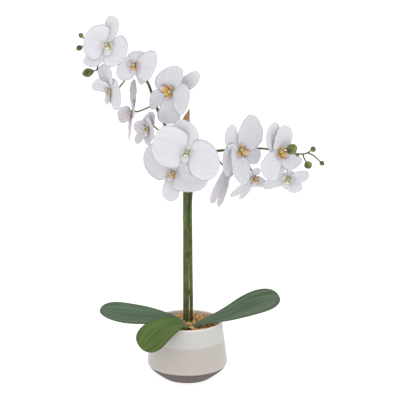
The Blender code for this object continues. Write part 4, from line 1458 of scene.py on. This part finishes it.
@dataclass(frozen=True)
class Spike:
    """A flowering stem: its route of (x, y, z, radius) knots, its joints and what grows from it."""

    name: str
    route: tuple
    stalks: dict
    twigs: tuple
    joints: tuple
    stalk_radius: float = 1.15
    stalk_offsets: tuple = (10.0, 4.0, 0.4)
    stalk_root: float = 0.35
    stalk_flare: float = 1.1
    joint_swell: float = 0.32
    joint_reach: float = 2.2
    lump: float = 0.05
    lump_pitch: float = 9.0
    bract_length: float = 11.0
    bract_wrap: float = 115.0
    bract_gap: float = 0.45
    bract_thickness: float = 0.35

    def build(self, finishes: dict, rng: np.random.Generator) -> None:
        """Make the stem with its side stalks and bracts as one piece, and each bud as its own.

        Args:
            finishes: the materials by name.
            rng: the seeded source of the stem's small lumps.
        """
        sheets = Sheets()
        rows = smooth_route(self.route, 14)
        centres, radii = rows[:, :3], rows[:, 3].copy()
        distance = np.concatenate([[0.0], np.cumsum(np.linalg.norm(np.diff(centres, axis=0), axis=1))])
        spots = np.arange(0.0, distance[-1] + self.lump_pitch, self.lump_pitch)
        lumps = rng.uniform(-self.lump, self.lump, int(distance[-1] / self.lump_pitch) + 2)
        radii *= 1.0 + np.interp(distance, spots, lumps)
        for joint in self.joints:
            at = joint.share * distance[-1]
            radii += self.joint_swell * joint.size * np.exp(-(((distance - at) / self.joint_reach) ** 2))
        sheets.add(tube(centres, radii, 18), ring=True)
        knots = np.array(self.route)[:, :3]
        for flower in FLOWERS:
            if flower.name in self.stalks:
                self.add_stalk(sheets, knots[self.stalks[flower.name]], flower)
        for joint in self.joints:
            self.add_bract(sheets, rows, distance, joint)
        for twig in self.twigs:
            line = smooth_route(np.vstack([knots[twig.knot], twig.route]), 8)
            thin = self.stalk_radius * np.linspace(1.0, 0.8, len(line))
            sheets.add(tube(line, thin, 10), ring=True)
            ahead = unit(line[-1] - line[-2])
            bud = Sheets()
            bud.add(twig.bud.surface(line[-1], ahead), ring=True)
            piece(twig.bud.name, bud.mesh(twig.bud.name), (finishes["bud"],), twig.bud.name)
        piece(self.name, sheets.mesh(self.name), (finishes["stem"],), self.name)

    def add_stalk(self, sheets: Sheets, start: np.ndarray, flower: Flower) -> None:
        """Add the stalk of a flower, which flares where it meets the back of the flower.

        Args:
            sheets: the stem's grids so far.
            start: the knot that the stalk leaves from.
            flower: the flower at its end.
        """
        forward = flower.axes()[2]
        hub = np.array(flower.hub)
        route = np.array([start, *(hub - forward * offset for offset in self.stalk_offsets)])
        share = np.linspace(0.0, 1.0, 28)
        line = resample(smooth_route(route, 10), share)
        swell = self.stalk_root * (1.0 - share) ** 6
        radii = self.stalk_radius * (1.0 + swell + self.stalk_flare * share**14)
        sheets.add(tube(line, radii, 10), ring=True, tint=0.25)

    def add_bract(self, sheets: Sheets, rows: np.ndarray, distance: np.ndarray, joint: Joint) -> None:
        """Add the scale leaf that wraps the stem at a joint.

        With u up the stem and v round it, a point is the stem's centreline at u, plus its radius and a
        small flare u^2 in the direction at angle v times a half angle that closes as (1 - u^1.6).

        Args:
            sheets: the stem's grids so far.
            rows: the stem's centreline and radius.
            distance: how far along the stem each of them is.
            joint: where the scale sits and how large it is.
        """
        u = np.linspace(0.0, 1.0, 12)
        v = np.linspace(-1.0, 1.0, 11)[None, :]
        length = self.bract_length * joint.size
        at = joint.share * distance[-1] + u * length
        line = np.column_stack([np.interp(at, distance, column) for column in rows.T])
        tangents = unit(np.gradient(line[:, :3], axis=0))
        side = unit(np.cross(tangents, np.array((0.0, 1.0, 0.0))))
        front = np.cross(tangents, side)
        spread = math.radians(self.bract_wrap) * (1.0 - u**1.6)[:, None] * v + math.radians(joint.angle)
        reach = (line[:, 3] + self.bract_gap + joint.flare * u**2)[:, None]
        around = np.cos(spread)[..., None] * side[:, None, :] + np.sin(spread)[..., None] * front[:, None, :]
        outer = line[:, None, :3] + reach[..., None] * around
        inner = line[:, None, :3] + (reach - self.bract_thickness)[..., None] * around
        shell = np.concatenate([outer, inner[:, ::-1]], axis=1)
        middles = [shell[end].mean(axis=0)[None, None, :] for end in (0, -1)]
        ends = [np.repeat(middle, shell.shape[1], axis=1) for middle in middles]
        sheets.add(np.concatenate([ends[0], shell, ends[1]], axis=0), ring=True, tint=joint.tint)


@dataclass(frozen=True)
class Pot:
    """The thrown pot: a narrow foot, a round shoulder, a straight wall that leans in and a soft rim."""

    height: float = 88.0
    shoulder_radius: float = 59.9
    shoulder_height: float = 24.0
    rim_radius: float = 52.0
    wall: float = 3.6
    sides: int = 180
    foot: tuple = ((0.0, 0.0), (34.5, 0.0), (35.4, 0.25))
    heel: tuple = ((36.0, 0.8), (39.0, 2.6), (45.5, 7.4))
    belly: tuple = ((52.0, 12.6), (56.4, 17.0), (58.6, 20.2), (59.55, 23.0))
    bowl: tuple = ((53.0, 18.0), (48.0, 12.0), (40.0, 8.4), (32.0, 7.0), (16.0, 7.0), (0.0, 7.0))
    rim_round: float = 1.72
    turn_in: tuple = (27.0, 32.0)
    straight_span: tuple = (36.0, 85.8)

    def outer(self, height: np.ndarray | float) -> np.ndarray | float:
        """Radius of the outer wall above the shoulder: a straight line from the shoulder to the rim."""
        share = (height - self.shoulder_height) / (self.height - self.shoulder_height)
        return self.shoulder_radius + (self.rim_radius - self.shoulder_radius) * share

    def profile(self) -> np.ndarray:
        """Work out the profile: a curve up to the shoulder, a straight line, a half-round rim and the inside.

        Returns:
            Rows of radius and height, from the axis below to the axis inside.
        """
        onto_wall = [(self.outer(height), height) for height in self.turn_in]
        curve = smooth_route(np.array([*self.heel, *self.belly, *onto_wall]), 5)
        heights = np.linspace(*self.straight_span, 26)
        straight = np.column_stack([self.outer(heights), heights])
        angles = np.radians(np.linspace(8.0, 172.0, 13))
        middle = self.outer(self.height) - self.wall / 2.0
        ring = np.column_stack([np.cos(angles), np.sin(angles)])
        rim = (middle, self.height - self.rim_round) + self.rim_round * ring
        down = np.linspace(self.height - 3.0, self.shoulder_height + 3.0, 16)
        inside = np.column_stack([self.outer(down) - self.wall, down])
        return np.vstack([self.foot, curve, straight, rim, inside, self.bowl])

    def build(self, finishes: dict) -> None:
        """Make the pot as one turned surface."""
        sheets = Sheets()
        sheets.add(turned(self.profile(), self.sides), ring=True)
        made = sheets.mesh("stoneware_pot")
        made.set_sharp_from_angle(angle=math.radians(50.0))
        piece("stoneware_pot", made, (finishes["pot"],), "pot")


@dataclass(frozen=True)
class Gravel:
    """The filling: a bed tinted as painted shade between the chips, with two layers of loose stone chips on
    it.
    """

    bed_radius: float = 47.4
    top: float = 82.0
    spacing: float = 3.2
    chip: tuple = (1.3, 2.2)
    bed_depth: float = 2.2
    dome: float = 0.8
    layer_depths: tuple = (1.5, 0.1)
    shuffle: float = 0.55
    shuffle_up: float = 0.35
    margin: float = 0.6
    row_share: float = 0.866
    ring_radii: tuple = (0.0, 1.0, 0.86, 0.0)
    ring_rises: tuple = (-0.8, -0.38, 0.5, 0.85)
    bowl: tuple = ((0.0, 7.4), (28.0, 7.4), (38.0, 8.8), (47.0, 14.2), (52.0, 20.5), (55.6, 27.5))
    # Painted shade: the bed takes the darkest chip colour, so that the gaps between the chips read as shade.
    gap_shade_tint: float = 0.02

    def seats(self, rng: np.random.Generator) -> np.ndarray:
        """Work out where the chips lie: two jittered honeycombs, the upper one half a step across.

        Args:
            rng: the seeded source of the jitter.

        Returns:
            The chips' middles, in millimetres.
        """
        reach = int(self.bed_radius / self.spacing) + 3
        i, j = np.meshgrid(np.arange(-reach, reach + 1), np.arange(-reach, reach + 1))
        layers = []
        for order, depth in enumerate(self.layer_depths):
            x = (i + 0.5 * (j % 2) + 0.5 * order) * self.spacing
            y = j * self.spacing * self.row_share + 0.5 * order
            spot = np.stack([x.ravel(), y.ravel()], axis=-1) + rng.normal(0.0, self.shuffle, (x.size, 2))
            from_axis = np.linalg.norm(spot, axis=1)
            swell = self.dome * (1.0 - (from_axis / self.bed_radius) ** 2)
            lift = self.top - depth + swell + rng.normal(0.0, self.shuffle_up, x.size)
            layers.append(np.column_stack([spot, lift])[from_axis < self.bed_radius - self.margin])
        return np.vstack(layers)

    def chips(self, seats: np.ndarray, rng: np.random.Generator) -> np.ndarray:
        """Work out the chips: each two rings between two poles, jittered, scaled and turned.

        With (w, x, y, z) a random unit quaternion, the turn is the usual matrix of its products.

        Args:
            seats: the chips' middles.
            rng: the seeded source of their shapes.

        Returns:
            A batch of grids.
        """
        many = len(seats)
        angle = np.linspace(0.0, 2.0 * np.pi, 6, endpoint=False)
        radius = np.array(self.ring_radii)[:, None]
        rise = np.array(self.ring_rises)[:, None]
        grid = np.stack([radius * np.cos(angle), radius * np.sin(angle), rise + 0.0 * angle], axis=-1)
        jitter = rng.uniform(0.74, 1.2, (many, 4, 6, 1))
        jitter[:, (0, 3)] = jitter[:, (0, 3), :1]
        size = rng.uniform(*self.chip, (many, 1, 1, 1)) * rng.uniform(0.75, 1.15, (many, 1, 1, 3))
        turn = rng.normal(size=(many, 4))
        w, x, y, z = unit(turn).T
        rows = (
            (1 - 2 * (y * y + z * z), 2 * (x * y - w * z), 2 * (x * z + w * y)),
            (2 * (x * y + w * z), 1 - 2 * (x * x + z * z), 2 * (y * z - w * x)),
            (2 * (x * z - w * y), 2 * (y * z + w * x), 1 - 2 * (x * x + y * y)),
        )
        turns = np.array(rows).transpose(2, 0, 1)
        shaped = grid[None] * jitter * size
        return np.einsum("nij,nrcj->nrci", turns, shaped) + seats[:, None, None, :]

    def build(self, finishes: dict, rng: np.random.Generator) -> None:
        """Make the bed and its chips as one piece."""
        sheets = Sheets()
        low = self.top - self.bed_depth
        edge = self.bed_radius
        bed = [*self.bowl, (edge + 0.6, low - 0.8), (edge - 6.0, low), (20.0, low + 0.8), (0.0, low + 1.0)]
        # The bed, in the darkest chip colour as painted shade between the chips.
        sheets.add(turned(np.array(bed), 96), ring=True, tint=self.gap_shade_tint)
        seats = self.seats(rng)
        sheets.add(self.chips(seats, rng), ring=True, tint=rng.uniform(0.0, 1.0, len(seats)))
        made = sheets.mesh("potting_chips")
        made.shade_flat()
        piece("potting_chips", made, (finishes["chips"],), "potting_gravel")


@dataclass(frozen=True)
class Stake:
    """The cane that holds the stems up, split to a slanted tip."""

    foot: tuple = (-1.7, 17.4, 30.0)
    top: tuple = (-1.0, 17.2, 406.5)
    radius: float = 5.3
    tip: float = 14.0
    tip_start: float = 0.9
    cap_share: float = 0.82
    joints: tuple = (95.0, 210.0, 318.0)
    joint_swell: float = 0.22
    joint_reach: float = 2.5
    skin: float = 0.25
    length: float = 375.0
    sides: int = 28

    def build(self, finishes: dict) -> None:
        """Make the cane: rings from foot to tip, where each ring slants more, then a flat slanted cap.

        A point is the centreline at u plus the radius round it, and in the tip its height drops by
        tip (1 - cos(a)) / 2 on the side away from the point.
        """
        u = np.concatenate([np.linspace(0.0, 1.0, 40), [1.0]])
        foot, top = np.array(self.foot), np.array(self.top)
        centre = foot + u[:, None] * (top - foot)
        angle = np.linspace(0.0, 2.0 * np.pi, self.sides, endpoint=False)
        from_joint = (u[:, None] * self.length - np.array(self.joints)) / self.joint_reach
        radius = self.radius - self.skin + self.joint_swell * np.exp(-(from_joint**2)).sum(axis=1)
        radius[-1] *= self.cap_share
        ring = np.stack([np.cos(angle), np.sin(angle), 0.0 * angle], axis=-1)
        grid = centre[:, None, :] + radius[:, None, None] * ring[None]
        share = np.clip((u - self.tip_start) / (1.0 - self.tip_start), 0.0, 1.0)
        slant = share[:, None] * (1.0 - np.cos(angle)) / 2.0
        grid[:, :, 2] -= self.tip * slant
        middles = [grid[end].mean(axis=0)[None, None, :] for end in (0, -1)]
        ends = [np.repeat(middle, self.sides, axis=1) for middle in middles]
        sheets = Sheets()
        sheets.add(np.concatenate([ends[0], grid, ends[1]], axis=0), ring=True)
        made = sheets.mesh("bamboo_cane")
        made.set_sharp_from_angle(angle=math.radians(45.0))
        piece("bamboo_cane", made, (finishes["bamboo"],), "bamboo_stake")


LEAVES = (
    Leaf(
        "leaf_left",
        ((-3, -18, 74.5), (-7, -18, 86), (-24, -19, 94), (-56, -20, 99), (-92, -22, 103), (-129.5, -22, 110)),
        46.0,
        (30.0, 18.0),
        10.0,
        "left_leaf",
        claw=1.2,
        blunt=2.4,
    ),
    Leaf(
        "leaf_front",
        ((4, -27, 74.5), (1, -30, 86), (-15, -42, 95), (-36, -57, 91), (-54, -68, 79), (-66, -74, 67)),
        46.0,
        (10.0, 42.0),
        10.0,
        "front_leaf",
        claw=1.1,
        blunt=3.6,
    ),
    Leaf(
        "leaf_right",
        ((10, -21, 74.5), (14, -21, 86), (36, -20, 94), (62, -16, 101), (98, -8, 113), (137.5, 0, 124)),
        46.0,
        (-18.0, -30.0),
        12.0,
        "right_leaf",
        claw=1.4,
        blunt=2.6,
    ),
)

SPIKE_LEFT = Spike(
    name="spike_left",
    route=(
        (-2.2, 8.0, 45.0, 3.6),
        (-2.2, 8.0, 120.0, 3.6),
        (-2.0, 8.0, 200.0, 3.5),
        (-1.9, 8.0, 270.0, 3.4),
        (-5.0, 8.0, 315.0, 3.0),
        (-16.0, 8.0, 352.0, 2.7),
        (-32.0, 6.0, 385.0, 2.4),
        (-46.0, 4.0, 416.0, 2.1),
        (-57.0, 3.0, 449.0, 2.0),
        (-75.0, 6.0, 472.0, 1.8),
        (-99.0, 6.0, 488.0, 1.6),
        (-122.0, 6.0, 499.0, 1.4),
        (-141.0, 4.0, 507.0, 1.2),
    ),
    stalks={
        "left_bloom_1": 10,
        "left_bloom_2": 8,
        "left_bloom_3": 9,
        "left_bloom_4": 7,
        "left_bloom_5": 6,
        "left_bloom_6": 5,
        "front_bloom": 4,
    },
    twigs=(
        Twig(12, ((-149.0, 2.0, 515.0),), Bud("bud_left_1", 9.0, 3.6)),
        Twig(12, ((-150.0, 0.0, 503.0),), Bud("bud_left_2", 11.0, 4.2)),
        Twig(
            11,
            ((-127.5, 4.0, 480.0), (-129.5, 3.0, 471.0), (-131.0, 2.0, 467.4), (-133.5, 1.0, 466.7)),
            Bud("bud_left_3", 19.5, 6.6),
        ),
    ),
    joints=(
        Joint(0.14, 190.0, 1.2, 0.6),
        Joint(0.252, 170.0, 1.2, 1.4),
        Joint(0.43, 260.0, 1.1, 0.8, 0.9),
        Joint(0.60, 200.0, 0.9, 0.8),
        Joint(0.72, 180.0, 0.8, 0.8),
        Joint(0.86, 180.0, 0.6, 0.8),
    ),
)

SPIKE_RIGHT = Spike(
    name="spike_right",
    route=(
        (6.1, 8.6, 45.0, 2.3),
        (6.2, 8.6, 120.0, 2.4),
        (5.4, 8.6, 200.0, 2.4),
        (5.1, 8.4, 270.0, 2.5),
        (10.5, 8.0, 305.0, 2.2),
        (22.0, 8.0, 332.0, 2.1),
        (38.0, 6.0, 344.0, 2.0),
        (52.0, 4.0, 347.5, 1.9),
        (80.0, 7.0, 348.5, 1.7),
        (111.0, 9.0, 349.0, 1.5),
        (137.0, 10.0, 344.5, 1.4),
        (158.0, 9.0, 341.5, 1.2),
        (170.0, 8.0, 341.0, 1.1),
        (176.8, 7.0, 343.0, 1.0),
    ),
    stalks={
        "low_bloom": 4,
        "right_bloom_1": 7,
        "right_bloom_2": 6,
        "right_bloom_3": 9,
        "right_bloom_4": 8,
        "right_bloom_5": 10,
    },
    twigs=(
        Twig(
            11,
            ((163.0, -8.0, 343.0), (160.0, -23.0, 346.0), (156.5, -27.0, 351.0)),
            Bud("bud_right_1", 18.0, 8.4),
        ),
        Twig(13, ((181.0, 5.0, 346.5),), Bud("bud_right_2", 9.0, 4.4)),
        Twig(12, ((171.5, 6.0, 335.5), (174.0, 4.0, 331.5)), Bud("bud_right_3", 13.0, 6.2)),
        Twig(13, ((185.5, 6.0, 339.0), (194.5, 5.0, 331.0)), Bud("bud_right_4", 8.5, 3.6)),
    ),
    joints=(
        Joint(0.17, 30.0, 1.0, 0.8),
        Joint(0.30, 10.0, 1.2, 2.2),
        Joint(0.41, 20.0, 1.0, 1.6),
        Joint(0.64, 270.0, 0.7, 0.8),
        Joint(0.80, 270.0, 0.6, 0.8),
    ),
)


@dataclass(frozen=True)
class SoftLamp:
    """A square soft light: where it hangs, what it points at, its size in metres and its power in watts."""

    name: str
    place: tuple
    aim: tuple
    size: float
    power: float
    colour: str = "#FFFFFF"

    def build(self) -> None:
        """Hang the lamp and point it."""
        lamp = bpy.data.lights.new(self.name, "AREA")
        lamp.size = self.size
        lamp.energy = self.power
        lamp.color = linear(self.colour)[:3]
        made = bpy.data.objects.new(self.name, lamp)
        bpy.context.scene.collection.objects.link(made)
        made.location = self.place
        made.rotation_euler = (Vector(self.aim) - Vector(self.place)).to_track_quat("-Z", "Y").to_euler()


@dataclass(frozen=True)
class Studio:
    """A white paper floor, an even white surround, soft lamps and a long lens a little above the pot."""

    aim: tuple = (0.019, 0.0, 0.2733)
    distance: float = 3.0
    pitch: float = 15.0
    lens: float = 183.5
    sensor: float = 36.0
    farthest: float = 60.0
    floor_reach: float = 14000.0
    surround: float = 0.82
    lamps: tuple = (
        SoftLamp("key", (0.9, -1.5, 1.7), (0.0, 0.0, 0.3), 1.1, 8.0),
        SoftLamp("fill", (-1.5, -1.2, 0.9), (0.0, 0.0, 0.3), 1.0, 2.0),
        SoftLamp("top", (0.0, 0.3, 2.0), (0.0, 0.0, 0.2), 1.6, 7.0),
    )

    def build(self) -> None:
        """Lay the floor, light the surround, hang the lamps and set the camera."""
        sheets = Sheets()
        reach = np.linspace(-self.floor_reach, self.floor_reach, 9)
        x, y = np.meshgrid(reach, reach)
        sheets.add(np.stack([x, y, 0.0 * x], axis=-1))
        paper = bpy.data.objects.new("studio_floor", sheets.mesh("studio_floor"))
        bpy.context.scene.collection.objects.link(paper)
        paper.data.materials.append(StudioPaper().make())
        world = bpy.data.worlds.new("studio")
        world.use_nodes = True
        light = world.node_tree.nodes["Background"]
        light.inputs["Color"].default_value = linear("#FFFFFF")
        light.inputs["Strength"].default_value = self.surround
        bpy.context.scene.world = world
        bpy.context.scene.view_settings.view_transform = "Standard"
        for lamp in self.lamps:
            lamp.build()
        self.set_camera()

    def set_camera(self) -> None:
        """Set the camera on the -Y side, looking along +Y and down by the pitch."""
        lens = bpy.data.cameras.new("camera")
        lens.lens = self.lens
        lens.sensor_width = self.sensor
        lens.clip_end = self.farthest
        camera = bpy.data.objects.new("camera", lens)
        bpy.context.scene.collection.objects.link(camera)
        pitch = math.radians(self.pitch)
        back = Vector((0.0, -math.cos(pitch), math.sin(pitch))) * self.distance
        camera.location = Vector(self.aim) + back
        camera.rotation_euler = (math.pi / 2.0 - pitch, 0.0, 0.0)
        bpy.context.scene.camera = camera


def make_finishes() -> dict:
    """Make every material once.

    Returns:
        The materials by name, with each lip's under its LipColour.
    """
    # A pinker, darker copy of the petal colours for three flowers: the pink is their own tint, the darker
    # tone is painted shade.
    shaded_pink = {"white": "#D8D5DA", "shade": "#C8C3CA", "vein": "#B5A9B5"}
    return {
        "pot": GlazedStoneware().make(),
        "chips": StoneChips().make(),
        "bamboo": SplitBamboo().make(),
        "stem": StemSkin().make(),
        "bud": BudSkin().make(),
        "left_leaf": LeafSkin("dark_leaf_skin", "#3F5639", "#557055", "#33472F").make(),
        "front_leaf": LeafSkin("bright_leaf_skin", "#43581F", "#566F2E", "#2F4519").make(),
        "right_leaf": LeafSkin("grey_leaf_skin", "#40543A", "#5C7058", "#30432B").make(),
        "petal": PetalTissue("white_petal_tissue").make(),
        "shaded_blush": PetalTissue("shaded_blush_petal_tissue", **shaded_pink).make(),
        "tendril": PetalTissue("tendril_tissue", veins_across=3.0).make(),
        "column": ColumnTissue().make(),
        "callus": CallusTissue().make(),
        "white_callus": CallusTissue("cream_callus", "#DDE0BE", "#EFEFDF", "#B9A88A").make(),
        LipColour.GOLD: LipTissue("golden_lip_tissue").make(),
        LipColour.AMBER: LipTissue("amber_lip_tissue", "#CFA05C", "#D3CDD2", "#A5799A", 0.42, 0.7).make(),
        LipColour.PALE: LipTissue("pale_lip_tissue", "#CDBE86", "#D4D5D4", "#B8A9BE", 0.35, 0.4).make(),
    }


def main() -> None:
    """Build the studio and every piece of the potted orchid."""
    Studio().build()
    finishes = make_finishes()
    rng = np.random.default_rng(SEED)
    Pot().build(finishes)
    Gravel().build(finishes, rng)
    Stake().build(finishes)
    for leaf in LEAVES:
        leaf.build(finishes, rng)
    for flower in FLOWERS:
        flower.build(finishes, rng)
    for spike in (SPIKE_LEFT, SPIKE_RIGHT):
        spike.build(finishes, rng)


if __name__ == "__main__":
    main()
